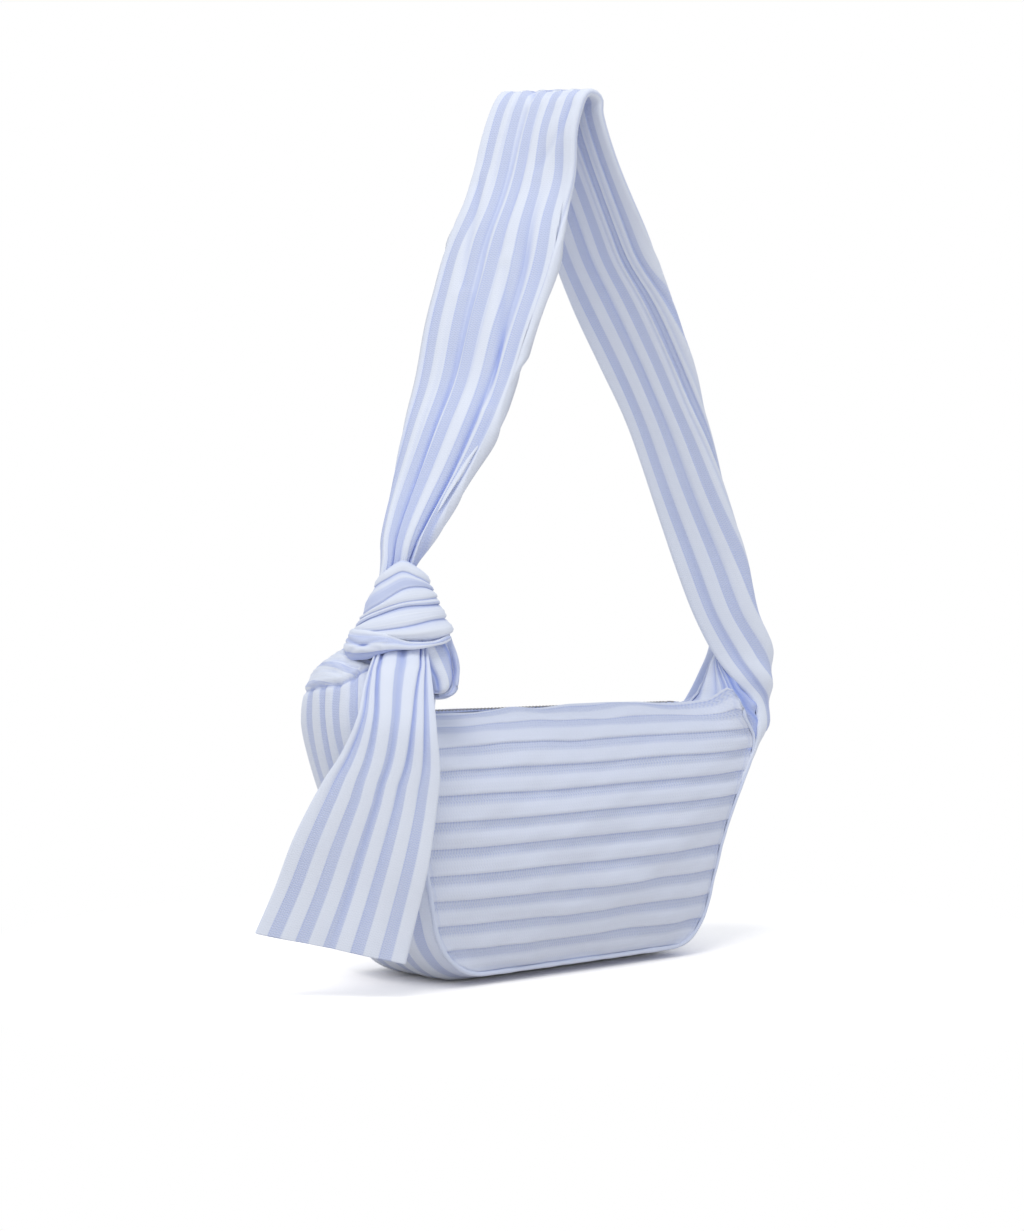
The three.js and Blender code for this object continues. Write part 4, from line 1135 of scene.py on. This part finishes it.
wrapLook = {
    "creases": [  # heights of the creases from the top edge down, every 45 degrees from the right end
        [261, 262, 264, 262, 258.5, 264, 267.5, 264.8],
        [252, 253, 254, 252, 250, 255, 260.3, 256.5],
        [248, 246, 243, 237, 233, 239.3, 249.2, 250.9],
        [243.6, 241, 237, 232, 230, 235.6, 241.3, 243.1],
        [239.5, 237, 232, 226.5, 225, 232.2, 238.6, 239.7],
        [230.6, 229, 227, 224, 223.4, 223.4, 226.2, 230.3],
        [221.8, 221, 221, 221.5, 222.6, 222.4, 217.6, 218.2],
    ],
    "width": [
        (213, 22), (217, 26.5), (219.5, 29.5), (222, 30.8), (225, 29.8), (228, 28), (231, 26.6),
        (234, 24.6), (240.6, 22.4), (243, 21.4), (247, 19.3), (250, 18), (254.8, 15.6), (258, 14.2),
        (262.8, 11.6), (268, 9.6),
    ],
    "ribs": [  # stripe place at the top and bottom of each rib, and how far it stands out
        (0.1, 0.42, 1.8), (0.44, 0.6, 1.3), (0.12, 0.52, 2.0), (0.3, 0.7, 1.3), (0.9, 1.36, 2.7),
        (0.95, 1.44, 2.2),
    ],
    "steps": [0.0, 0.05, 0.13, 0.26, 0.42, 0.58, 0.74, 0.87, 0.95],
    "mouth": 2,
}


def knotWrapCloth(look):
    angles = np.linspace(0, 360, 128, endpoint=False)
    lines = np.array([roundValues(crease, angles) for crease in look["creases"]])
    rings, stripes, foldShade = [], [], []
    turn = np.radians(angles)
    rough = ripple(angles * 1.0, angles * 0, 41, 70) * 0.25

    def addRing(height, relief, stripe, paintedShade, draw=0.0):
        radius = np.interp(height, *zip(*look["width"])) + relief - draw
        rings.append(fromKnot(radius * np.cos(turn), radius * knotFrame["depth"] * np.sin(turn), height))
        stripes.append(np.broadcast_to(stripe, angles.shape))
        foldShade.append(np.broadcast_to(paintedShade, angles.shape))

    addRing(lines[0] - look["mouth"], 0, 0.1, 0.8, 2.5)
    addRing(lines[0] - 1.2, 0, 0.1, 0.4, 1.2)
    for k, (start, end, rise) in enumerate(look["ribs"]):
        gap = lines[k] - lines[k + 1]
        for share in look["steps"]:
            height = lines[k] - gap * share
            shape = np.sin(math.pi * share ** 1.25) ** 0.6 if share else 0.0
            full = np.minimum(gap / 6, 1) ** 0.8
            fine = 0.22 * full * np.sin(share * math.pi * 6 + turn * 0.7) if 0 < share < 1 else 0
            relief = rise * full * (shape - 0.35) + rough * shape + fine
            if k == 0:
                relief = relief - 1.1 * (1 - share) ** 6
            # painted shade between the wrap's ribs, and at its mouth and lower edge
            paintedShade = 0 if k == 0 and share == 0 else 0.85 * (1 - shape) ** 2
            addRing(height, relief, start + (end - start) * share, paintedShade)
    addRing(lines[-1], -0.6, 0.45, 0.5)
    addRing(lines[-1] - 1.5, -2.5, 0.5, 0.8)
    addRing(lines[-1] - 2.5, -9, 0.5, 1)
    rings, stripes, foldShade = (np.array(values)[::-1] for values in (rings, stripes, foldShade))
    return closedTube("knotWrapCloth", rings, np.linspace(4, 0, len(rings)), ribKnitCloth, stripes, foldShade)


def bandFromKnot(net):
    return [[tuple(fromKnot(*point)) for point in row] for row in net]


# The roll in the knot's own directions, from the right end round the back and the left to the front's right.
rollNet = [  # top edge, upper, lower, bottom edge
    [(27.5, 4, 222.5), (28.5, 4.5, 221.4), (28.5, 4.5, 220), (27.5, 4, 219)],
    [(21.5, 15.5, 223.5), (22.5, 16.5, 221.4), (22.5, 16.5, 218.8), (21.5, 15.5, 217)],
    [(8, 23.5, 224), (8.5, 26, 221.2), (8.5, 26.5, 217), (8, 24.5, 213.5)],
    [(-8, 24.5, 223.5), (-9, 27.5, 219.5), (-9, 27.5, 214), (-8, 25.5, 211)],
    [(-20, 22.5, 222.5), (-22, 25, 218.4), (-22, 25, 213), (-20, 24, 210)],
    [(-27, 14, 222.5), (-30, 14.5, 219), (-31.5, 14, 212), (-30, 13, 207.5)],
    [(-29.5, 3, 223.3), (-33, 2, 219), (-35, 0, 212), (-34.5, -1, 206.8)],
    [(-26.5, -11, 224), (-30.5, -13.5, 218.8), (-32.5, -14.5, 211.5), (-31, -13.5, 205.6)],
    [(-19.5, -19.5, 224), (-21.5, -23.5, 218.4), (-22, -24.5, 212), (-21, -22.5, 206.6)],
    [(-12, -23, 222), (-13, -27.5, 217.8), (-13, -28, 213.6), (-12.5, -25.5, 210)],
    [(-4, -24, 218.8), (-4.5, -28.5, 216.6), (-4.5, -28.8, 214.6), (-4, -26, 212.4)],
    [(5, -24.5, 216.6), (5, -28.3, 215.6), (5, -28.3, 214.2), (5, -25.5, 213)],
    [(14, -22.5, 216.4), (14.5, -26, 215.8), (14.5, -26, 214.6), (14, -23.5, 213.8)],
    [(23, -17, 218), (24, -19.5, 217.4), (24, -19.5, 216.2), (23, -17, 215.6)],
    [(28, -9, 220), (29.5, -10.5, 219.6), (29.5, -10.5, 218.6), (28, -9, 218)],
]
rollLook = {
    "stripes": 4,
    "stripeWidth": 4.6,
    "gather": [(0, 0.4), (0.29, 0), (0.61, 0.1), (0.79, 0.5), (1, 0.6)],
    "gatherDepth": 0.8,
    "half": [(0, 0.8), (0.15, 1.6), (0.43, 2.2), (0.64, 2), (0.79, 1.3), (1, 0.8)],
    "rimRadius": 1.8,
    "rib": 0.9,
    "wave": 0.3,
    "waveSize": 25,
    "seed": 44,
    "step": 1.3,
    "shadeDepth": 2.2,
    "folds": [
        foldAt(0.9, 0.3, 1.0, 0.2, (0, 0), (0.29, 0.2), (0.46, 0.8), (0.71, 1), (1, 0.3)),
        foldAt(2.1, 0.25, 1.2, 0.2, (0, 0), (0.29, 0.6), (0.5, 1), (0.71, 0.7), (1, 0)),
        foldAt(3.1, 0.25, 0.9, 0.2, (0, 0), (0.29, 1), (0.5, 0.6), (0.64, 1), (1, 0)),
    ],
    "creases": [
        (0.4, 1.2, 0.64, 2.6, 0.9, 0.9, 0.6),
        (0.5, 3.0, 0.66, 1.4, 0.9, 0.8, 0.5),
    ],
    # painted shade along the roll's bottom edge
    "shadePatches": [{"at": 4, "half": 1.6, "amount": [(0, 0.7), (0.29, 0.5), (0.64, 0.6), (1, 0.4)]}],
}

loopNet = [  # in the knot's own directions: left edge, face, face's right, crease, rim, back, back left
    [
        (-2, -20, 215), (11, -18, 216), (22, -9, 218), (24.5, -3, 219), (29, 0, 219), (24, 9, 219),
        (12, 14, 218),
    ],
    [
        (-2, -17, 207.1), (13, -19, 208.4), (26, -12, 209), (28.6, -3, 209.3), (32.6, -6, 209.6),
        (29, 6, 209), (14, 12, 208),
    ],
    [
        (2, -16, 200.9), (16, -20.5, 201), (28.3, -15, 201), (30.4, -5, 201), (34.7, -11, 200.5),
        (31, -1, 200), (15, 4, 199),
    ],
    [
        (7, -16, 195), (19, -21.5, 195), (29, -18, 194), (30.7, -8, 193.5), (34.6, -15.5, 193),
        (30, -7, 192), (15, -3, 192),
    ],
    [
        (10, -16, 190), (20.5, -22, 189.8), (27.5, -20, 189.2), (29.5, -11, 188.3), (33.4, -19, 187),
        (27, -11, 185.5), (14, -8, 187),
    ],
    [
        (12, -17, 187.5), (20, -22, 187.2), (25, -21, 187), (26.5, -13, 186.2), (29.5, -21, 183.8),
        (23, -15, 182.5), (12, -12, 185),
    ],
    [
        (12, -18, 186.5), (17, -20.5, 186.2), (20, -20, 186), (21, -15, 185.2), (23, -20, 183),
        (17, -15, 182.6), (10, -13, 184.5),
    ],
]
loopLook = {
    "stripes": 9,
    "stripeWidth": 6,
    "gather": [(0, 0.3), (0.5, 0.2), (1, 0.3)],
    "gatherDepth": 0.8,
    "half": [(0, 1.5), (1, 1.4)],
    "rimRadius": 1.4,
    "rib": 0.4,
    "wave": 0.35,
    "waveSize": 22,
    "seed": 31,
    "step": 1.2,
    "shadeDepth": 1.5,
    "folds": [
        foldAt(0.7, 0.3, 1.1, 0, (0, 1), (0.7, 0.9), (1, 0.4)),
        foldAt(1.3, 0.25, 1.1, 0, (0, 1), (0.7, 0.9), (1, 0.4)),
        foldAt(2.05, 0.3, 1.2, 0, (0, 1), (0.6, 1), (1, 0.5)),
    ],
    # painted shade in the loop's crease and near its left edge
    "shadePatches": [
        {"at": 4.15, "half": 0.55, "amount": [(0, 1), (0.85, 1), (1, 0.8)]},
        {"at": 1.2, "half": 1.6, "amount": [(0, 0.7), (0.4, 0.35), (1, 0.3)]},
    ],
}


def knotCoreCloth():
    rings = []
    tube = np.linspace(0, 2 * math.pi, 48, endpoint=False)
    for height, radius in ((209, 9), (210, 17), (213, 22), (217, 24), (221, 24), (224, 18)):
        wave = 1 + 0.05 * np.cos(9 * tube) + 0.03 * np.cos(15 * tube + 1)
        x = radius * wave * np.cos(tube)
        y = radius * wave * knotFrame["depth"] * np.sin(tube)
        rings.append(fromKnot(x, y, height))
    stripe = 2.4 * tube / math.pi
    # painted shade in the core's inward folds
    foldShade = 0.45 + 0.3 * np.cos(9 * tube + math.pi)
    return closedTube(
        "knotCoreCloth", np.array(rings), np.linspace(0, 2, len(rings)), ribKnitCloth, stripe, foldShade,
    )


knotPieces = {
    "knot_wrap": knotWrapCloth(wrapLook),
    "knot_roll": stripedBand("knotRollCloth", bandFromKnot(rollNet), rollLook, ribKnitCloth),
    "knot_loop": stripedBand("knotLoopCloth", bandFromKnot(loopNet), loopLook, ribKnitCloth),
    "knot_core": knotCoreCloth(),
}
for node, cloth in knotPieces.items():
    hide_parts(node)
    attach(cloth, "bag")
print("knot ready")

# tail: two layers of the striped cloth, in the knot's directions from the front left top corner

tailRows = [  # outer edge, inner edge, depth, share of the way down
    (-14, 12, 29, -0.04), (-17, 13.5, 27, 0), (-20.5, 15.5, 15, 0.05), (-24.6, 18, 3, 0.127),
    (-28.5, 20.5, -8.5, 0.241), (-38, 22.5, -10.5, 0.366), (-51, 20.5, -10.5, 0.487),
    (-67, 15.5, -10, 0.67), (-79, 8, -8, 0.848), (-91, 1, -7.5, 1),
]
tailSize = {"top": 211.4, "length": 180, "tilt": 19, "corner": (-150, -46)}
tailLook = {
    "stripes": 11,
    "stripeWidth": 8.6,
    "gather": [(0, 0.35), (0.25, 0.3), (0.5, 0.2), (0.7, 0.05), (1, 0)],
    "tuck": 0.5,
    "gatherDepth": 1.6,
    "half": [(0, 2.8), (0.3, 2.2), (1, 1.5)],
    "rimRadius": 2,
    "rib": 0.5,
    "wave": 0.6,
    "waveSize": 70,
    "calm": [(0, 0.5), (0.5, 1), (1, 1.3)],
    "seed": 77,
    "step": 2.6,
    "shadeDepth": 3,
    # painted shade at the tail's top, under the roll
    "shadePatches": [{"at": 5.5, "half": 9, "amount": [(0, 0.95), (0.06, 0.6), (0.14, 0.2), (0.24, 0), (1, 0)]}],
    "folds": [
        foldAt(1.3, 2.4, 0.5, 0.8, (0, 1), (0.25, 0.9), (0.45, 0.55), (0.68, 0), (1, 0), edge=0.6),
        foldAt(9.4, 2.5, 0.6, 0.78, (0, 1), (0.22, 0.9), (0.4, 0.5), (0.62, 0), (1, 0), edge=0.6),
        foldAt(3.5, 0.45, 1.8, 0.4, (0, 1), (0.35, 0.9), (0.6, 0.3), (0.8, 0), (1, 0)),
        foldAt(1.0, 0.45, 1.9, 0.1, (0, 0.6), (0.35, 0.9), (0.6, 0.6), (0.75, 0), (1, 0)),
        foldAt(5.5, 0.4, 1.5, 0.3, (0, 0.8), (0.3, 0.5), (0.6, 0.9), (0.85, 0.6), (1, 0.3)),
        foldAt(7.3, 0.5, 2.3, 0.5, (0, 1), (0.3, 1), (0.5, 0.7), (0.75, 0.2), (1, 0.1)),
        foldAt(9.2, 0.4, 1.8, 0.1, (0, 0.7), (0.3, 1), (0.5, 0.6), (0.7, 0), (1, 0)),
    ],
}


def tailPoint(row, share, bow, back):
    outer, inner, depth, down = row
    tilt = tailSize["tilt"] * (1 - (1 - max(down, 0)) ** 2)
    x = between(outer, inner, share)
    y = depth - bow + back
    z = tailSize["top"] - down * tailSize["length"] + tilt * (0.5 - share)
    cornerX, cornerY = tailSize["corner"]
    flat = x * tiltR + y * tiltD
    return (cornerX + flat[0], cornerY + flat[1], z)


def tailNet(back, reach):
    # reach lengthens the layer past the hem
    net = []
    for row in tailRows:
        down = max(row[3], 0)
        roundness = 5.5 * (1 - down) ** 1.5
        line = []
        for share in (0, 0.12, 0.3, 0.5, 0.7, 0.88, 1):
            bow = roundness * (1 - (2 * share - 1) ** 2) + 1.3 * down * math.sin(share * 9.5 + 0.6)
            spot = row[:3] + (row[3] + reach * down ** 8,)
            line.append(tailPoint(spot, share, bow, back * min(1, 0.35 + down)))
        net.append(line)
    return net


tailFrontCloth = stripedBand("tailFrontCloth", tailNet(-1.6, 0), tailLook, ribKnitCloth)
tailBackCloth = stripedBand(
    "tailBackCloth", tailNet(2.2, 0.006), tailLook | {"seed": 78, "wave": 0.5}, ribKnitCloth,
)
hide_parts("strap_tail", "tail_hem")
for cloth in (tailFrontCloth, tailBackCloth):
    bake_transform(cloth)
print("tail ready")

# gathered cloth at both ends of the zip, ring by ring from inside the bag up to the strap and the knot

gatherLook = {
    "pleats": 13,
    "depth": 1.9,
    "columns": 170,
    "levels": 46,
    "strength": [(0, 0.4), (0.25, 0.9), (0.6, 1.2), (1, 1.0)],  # of the pleats, up its height
    "strengthRound": [(0, 1), (0.33, 0.7), (0.42, 0.35), (0.58, 0.35), (0.66, 1), (1, 1)],
    "darkness": [(0, 0.6), (0.4, 0.9), (1, 1.1)],  # of its shadow, up its height
    "right": {
        "rings": [  # height, then points round it from the zip's end by way of the front
            (128, [
                (129, 0), (131, -20), (139, -33), (149, -39), (157.5, -43), (163, -10), (162, 20),
                (150, 38), (140, 33), (131, 17),
            ]),
            (150, [
                (128.5, 0), (131, -20), (143, -33), (155, -42), (166, -45.5), (176, -12), (168, 20),
                (153, 39), (140, 33), (130.5, 17),
            ]),
            (162, [
                (129, -2), (132.5, -18), (142.5, -32), (151, -40.5), (160, -42.5), (168, -41),
                (177, -12), (169, 21), (151, 34), (134, 15),
            ]),
            (169, [
                (138, -5), (142, -16), (146, -29), (152, -37), (159.5, -39), (166, -35.5), (178, -12),
                (170, 10), (155, 9), (143, 4),
            ]),
            (176, [
                (144, -8), (146.5, -16), (150, -26), (153.5, -31.5), (157, -33), (161, -31.5),
                (178, -14), (172, 8), (160, 4), (149, -2),
            ]),
            (184, [
                (149, -10), (150.5, -15), (152.5, -21), (154.5, -26), (158, -29), (163, -29), (175, -16),
                (172, 3), (163, 0), (154, -5),
            ]),
            (192, [
                (152, -12), (152.6, -14.5), (153, -18), (154, -21.5), (157, -24.5), (163, -26),
                (173, -18), (171, -5), (165, -4), (157, -7),
            ]),
            (199, [
                (155.5, -14), (156, -15.5), (156.6, -17.5), (158, -19.5), (161, -21.5), (165, -23),
                (171, -20), (171, -12), (166, -9), (160, -11),
            ]),
        ],
        "lean": 0.12,  # how much lower it lies towards the back
        "shadow": [(0, 0.05), (0.15, 0.15), (0.24, 0.5), (0.31, 1), (0.5, 1.2), (0.62, 0.5), (1, 0.05)],
        "waist": [(161, 90), (163, 100.5), (165, 107), (171, 112.5), (179, 116.5), (190, 119.5), (199, 122)],
    },
    "left": {
        "rings": [
            (114, [
                (-122, 0), (-124, 18), (-131, 37), (-138.7, 44.6), (-142.5, 22), (-145, 0),
                (-142.5, -22), (-138.5, -44.3), (-131, -38), (-124, -19),
            ]),
            (132, [
                (-129, 0), (-131, 18), (-138, 37), (-144, 45), (-152, 22), (-154, 0), (-152, -22),
                (-144, -45), (-138, -38), (-131, -19),
            ]),
            (150, [
                (-128.5, 0), (-131, 18), (-141, 37), (-148, 45), (-156, 22), (-158, 0), (-156, -22),
                (-148, -45), (-141, -38), (-131, -19),
            ]),
            (163, [
                (-128.5, 0), (-132, 15), (-142, 32), (-150, 43), (-158, 22), (-160, 2), (-157, -20),
                (-149, -43), (-143, -35), (-133, -16),
            ]),
            (170, [
                (-128.5, 1), (-132, 12), (-142, 28), (-151, 40), (-159, 22), (-160, 4), (-157, -17),
                (-148, -36), (-141, -28), (-132.5, -12),
            ]),
            (178, [
                (-132, 2), (-135, 10), (-143, 25), (-151, 36), (-156, 22), (-158, 6), (-153, -13),
                (-146, -26), (-141, -20), (-137, -8),
            ]),
            (190, [
                (-132, 2), (-134, 9), (-138, 18), (-145, 27), (-151, 18), (-153, 6), (-149, -8),
                (-142, -16), (-137, -12), (-133, -5),
            ]),
            (202, [
                (-124, 0), (-125, 5), (-129, 10), (-134, 16), (-141, 12), (-143, 4), (-140, -5),
                (-133, -10), (-128, -8), (-125, -4),
            ]),
        ],
        "lean": 0,
        "shadow": [(0, 0.25), (1, 0.25)],
        "waist": None,
    },
}


def gatherCloth(name, look):
    around = np.linspace(0, 1, look["columns"], endpoint=False)
    heights = np.array([height for height, _ in look["rings"]], float)
    plan = np.array([points for _, points in look["rings"]], float)
    ringed = np.concatenate([plan[:, -1:], plan, plan[:, :2]], axis=1).swapaxes(0, 1)
    count = plan.shape[1]
    smooth = throughRows(ringed, (around * count + 1) / (count + 2)).swapaxes(0, 1)
    steps = np.linspace(0, 1, look["levels"])
    flat = throughRows(smooth, steps)
    height = throughRows(heights[:, None], steps)[:, 0]
    away = flat - flat.mean(axis=1, keepdims=True)
    away /= np.maximum(np.linalg.norm(away, axis=2, keepdims=True), 1e-6)
    phase = look["pleats"] * (around[None] + 0.12 * steps[:, None])
    phase = phase + 0.35 * np.sin(around[None] * 21 + steps[:, None] * 2)
    fold = np.abs(np.cos(math.pi * phase)) ** 0.7
    strength = look["depth"] * np.interp(steps, *zip(*look["strength"]))[:, None]
    strength = strength * np.interp(around, *zip(*look["strengthRound"]))[None]
    flat = flat + away * (strength * (fold - 1))[..., None]
    level = height[:, None] - look["lean"] * np.clip(flat[..., 1] + 12, 0, None)
    if look["waist"]:
        # its far side is drawn in towards the zip, level by level
        waist = np.interp(level, *zip(*look["waist"]))
        furthest = np.maximum((tiltR[0] * flat[..., 0] - waist) / -tiltR[1], -22)
        drawn = np.minimum(flat[..., 1], furthest)
        flat[..., 1] = np.where(level < look["waist"][0][0], flat[..., 1], drawn)
    rings = np.concatenate([flat, level[..., None]], axis=2)
    deep = np.interp(steps, *zip(*look["darkness"]))[:, None]
    deep = deep * np.interp(around, *zip(*look["shadow"]))[None]
    # painted shade in the pleats' valleys, plus the painted shadow given by the look's shadow and darkness
    foldShade = 0.6 * (1 - fold) + 0.75 * deep
    return closedTube(name, rings, np.linspace(0, 8, len(steps)), ribKnitCloth, phase / 2, foldShade)


for side, node in (("right", "end_gather_right"), ("left", "end_gather_left")):
    gathered = gatherCloth(side + "GatherCloth", gatherLook | gatherLook[side])
    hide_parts(node)
    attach(gathered, "bag")

cornerFoldNet = [  # the gathered cloth's last fold, between the knot and the front edge of the zip
    [(-96, -11.5, 165), (-103, -13, 166), (-112, -16, 167), (-122, -20, 168)],
    [(-97.5, -13.5, 174), (-104, -16, 175), (-113, -19, 176), (-123, -23, 177)],
    [(-99.5, -16, 186), (-106, -19, 187), (-115, -22, 188), (-124, -26, 189)],
    [(-101.5, -17, 198), (-107, -20, 200), (-115, -22, 202), (-123, -25, 204)],
]
cornerFoldLook = loopLook | {
    "stripes": 5,
    "seed": 51,
    "half": [(0, 1), (1, 1.2)],
    "rimRadius": 1.2,
    "folds": [],
    "shadePatches": [],
}
cornerFoldCloth = stripedBand("cornerFoldCloth", cornerFoldNet, cornerFoldLook, ribKnitCloth)
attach(cornerFoldCloth, "bag")
print("gathered ends ready")

# lining, one cloth inside each panel and one inside the gusset

liningShape = {"gap": 1.4, "thickness": 0.8, "wave": 0.7, "across": 60, "down": 44, "edge": 0.95}


def liningCloth(name, grid, alongCm, acrossCm, look, seed, flip=False):
    normal = outwards(grid) * (-1 if flip else 1)
    along, across = alongCm * 10, acrossCm * 10
    waves = look["wave"] * (ripple(along, across, seed, 46) + 0.5 * ripple(along, across, seed + 1, 19))
    outer = grid + normal * (waves - look["gap"] - look["wave"] * 1.2)[..., None]
    inner = outer - normal * look["thickness"]
    if flip:
        outer, inner = inner, outer
    return closedCloth(name, outer, inner, alongCm, acrossCm, 0 * waves, liningWeave)


def panelLining(name, side, seed):
    look = liningShape
    u = -side * np.linspace(-look["edge"], look["edge"], look["across"])
    v = np.linspace(0.975, 0.03, look["down"])
    u, v = np.broadcast_arrays(u[None], v[:, None])
    grid = panelPoints(side, u, v, 1)
    grid[..., 2] += edgeRise(grid, side, (1 - v) * panelDown)
    grid = settle(grid)
    grid -= outwards(grid) * bag["cloth"]
    return liningCloth(name, grid, grid[..., 0] / 10, grid[..., 2] / 10, look, seed)


frontLining = panelLining("frontLining", -1, 61)
backLining = panelLining("backLining", 1, 67)
liningRows = np.linspace((len(leftRows) - 1) / bandLast, splitShare, 120)
gussetGrid = smoothNet(bandNet, liningRows, np.linspace(0.06, 0.94, 26))
gussetGrid += outwards(gussetGrid) * 1.8
gussetRun = np.broadcast_to(runLength(gussetGrid[:, 13])[:, None], gussetGrid.shape[:2])
gussetLining = liningCloth(
    "gussetLining", gussetGrid, gussetRun / 10, gussetGrid[..., 1] / 10, liningShape, 71, flip=True,
)
linings = (
    (frontLining, "lining_front", (0.27, 0.16)),
    (backLining, "lining_back", (0.27, 0.16)),
    (gussetLining, "lining_gusset", (0.086, 0.53)),
)
for cloth, node, flat in linings:
    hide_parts(node)
    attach(cloth, "bag")
print("lining ready")

# zip: two woven tapes with a cord along each inner edge, teeth clamped over it, an end stop at each end

zipShape = {
    "middle": 167.6,
    "tapeTop": 168.1,
    "tapeHalf": 132,
    "toothEnd": 124,
    "pitch": 3,
    "tape": [  # distance from the middle line, height over the tape's top, and the tape's thickness there
        (0.9, -0.35, 0.3), (1.05, 0.1, 1.2), (1.4, 0.3, 1.6), (1.8, 0.3, 1.6), (2.2, 0.1, 1.2),
        (2.5, -0.1, 0.8), (3.0, -0.06, 0.85), (3.3, -0.14, 0.7), (4.2, -0.08, 0.8), (5.1, -0.14, 0.7),
        (6.0, -0.08, 0.8), (6.9, -0.14, 0.7), (7.8, -0.08, 0.8), (8.1, -0.3, 0.3),
    ],
    "tooth": [  # distance past the middle line, half width, half height
        (-0.55, 0.2, 0.4), (-0.44, 0.4, 0.78), (0.0, 0.52, 1.0), (0.35, 0.44, 0.9), (0.75, 0.38, 0.94),
        (1.05, 0.5, 1.2), (1.6, 0.55, 1.3), (2.5, 0.55, 1.3), (2.8, 0.42, 1.0),
    ],
    "stop": [  # place along it, and its size there
        (0, 0.78), (0.25, 0.98), (1.15, 1), (1.4, 0.9), (1.6, 0.9), (1.85, 1), (2.75, 0.98), (3, 0.78),
    ],
    "stopHalf": (2.45, 1.3),
    "tapeSteps": 260,
    "toothRound": 0.62,  # 1 for a round section, and lower for a squarer one
    "stopRound": 0.4,
    "softEdge": 0.22,
}


def squared(values, roundness):
    return np.sign(values) * np.abs(values) ** roundness


def onZip(points):
    # the zip slopes down a little towards its right end
    turn = math.atan(bag["zipSlope"])
    points = np.array(points, float)
    x, up = points[..., 0].copy(), points[..., 2] - zipShape["middle"]
    points[..., 0] = x * math.cos(turn) + up * math.sin(turn)
    points[..., 2] = zipShape["middle"] - x * math.sin(turn) + up * math.cos(turn)
    return points


def zipTape(name, side, look):
    away, lift, thick = np.array(look["tape"]).T
    if side < 0:
        away, lift, thick = -away[::-1], lift[::-1], thick[::-1]
    x = np.linspace(-look["tapeHalf"], look["tapeHalf"], look["tapeSteps"])[:, None]
    weave = 0.05 * np.sin(x * 2.1) * (np.abs(away) > 2.6)[None]
    # towards both ends the tape widens with the mouth and stays under the panel's edge
    sewn = np.clip((np.abs(away) - 3) / 5, 0, 1)[None]
    flare = (bag["gussetHalf"] - bag["zipHalf"]) * np.abs(x / bag["topHalf"]) ** panelLook["mouthPower"]
    across = away[None] + side * sewn * flare
    edge = np.minimum(np.interp(x, *zip(*edgeWaves[side])), 0) - 1
    level = look["tapeTop"] + lift[None] + weave + sewn * edge * np.clip((np.abs(x) - 70) / 40, 0, 1)
    top = onZip(np.stack(np.broadcast_arrays(x, across, level), -1))
    base = onZip(np.stack(np.broadcast_arrays(x, across, level - thick[None]), -1))
    return closedCloth(name, top, base, x / 10, away[None] / 10, 0 * weave, zipTapeCloth)


def zipTeeth(name, side, look):
    corners = np.radians(np.arange(12) * 30 + 15)
    acrossTooth = squared(np.cos(corners), look["toothRound"])
    upTooth = squared(np.sin(corners), look["toothRound"])
    sections = []
    for away, wide, tall in look["tooth"]:
        sections.append(np.stack([acrossTooth * wide, np.full(12, side * away), upTooth * tall], -1))
    sections = np.array(sections)
    start = look["toothEnd"] - look["pitch"] * (1 if side > 0 else 1.5)
    places = np.arange(start, look["pitch"] - look["toothEnd"], -look["pitch"])
    count, sides = sections.shape[:2]
    spot = np.arange(count * sides).reshape(count, sides)
    turned = np.roll(spot, -1, axis=1)
    quads = np.stack([spot[:-1], turned[:-1], turned[1:], spot[1:]], -1).reshape(-1, 4).tolist()
    faces = quads + [spot[0][::-1].tolist(), spot[-1].tolist()]
    if side < 0:
        faces = [face[::-1] for face in faces]
    points = [onZip(sections.reshape(-1, 3) + (place, 0, look["middle"])) for place in places]
    starts = range(0, len(places) * count * sides, count * sides)
    allFaces = [[corner + start for corner in face] for start in starts for face in faces]
    teeth, mesh = newMesh(name, np.concatenate(points), allFaces, zipMetal)
    mesh.update()
    return teeth


def zipStop(name, side, look):
    corners = np.linspace(0, 2 * math.pi, 28, endpoint=False)
    wide, tall = look["stopHalf"]
    rings = []
    for along, size in look["stop"]:
        y = wide * size * squared(np.cos(corners), look["stopRound"])
        z = tall * size * squared(np.sin(corners), look["stopRound"])
        x = np.full(28, side * (look["toothEnd"] + 0.3 + along))
        rings.append(np.stack([x, y, z + look["middle"]], -1))
    return closedTube(name, onZip(np.array(rings)), np.linspace(0, 0.3, len(rings)), zipMetal, flip=side < 0)


zipPieces = [
    (zipTape("zipTapeFront", -1, zipShape), "zip_tape_front", "zip_tape_cloth"),
    (zipTape("zipTapeBack", 1, zipShape), "zip_tape_back", "zip_tape_cloth"),
    (zipTeeth("zipTeethFront", -1, zipShape), "zip_teeth_front", "zip_metal"),
    (zipTeeth("zipTeethBack", 1, zipShape), "zip_teeth_back", "zip_metal"),
    (zipStop("zipStopLeft", -1, zipShape), "zip_stop_left", "zip_metal"),
    (zipStop("zipStopRight", 1, zipShape), "zip_stop_right", "zip_metal"),
]
for piece, node, slot in zipPieces:
    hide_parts(node)
    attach(piece, "bag")
for name in ("zip_slider", "zip_pull"):
    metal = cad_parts[name]
    metal.data.materials.clear()
    metal.data.materials.append(zipMetal)
    bevel = metal.modifiers.new("softEdges", "BEVEL")
    bevel.width = zipShape["softEdge"] * mm
    bevel.segments = 2
    bevel.limit_method = "ANGLE"
print("zip ready")
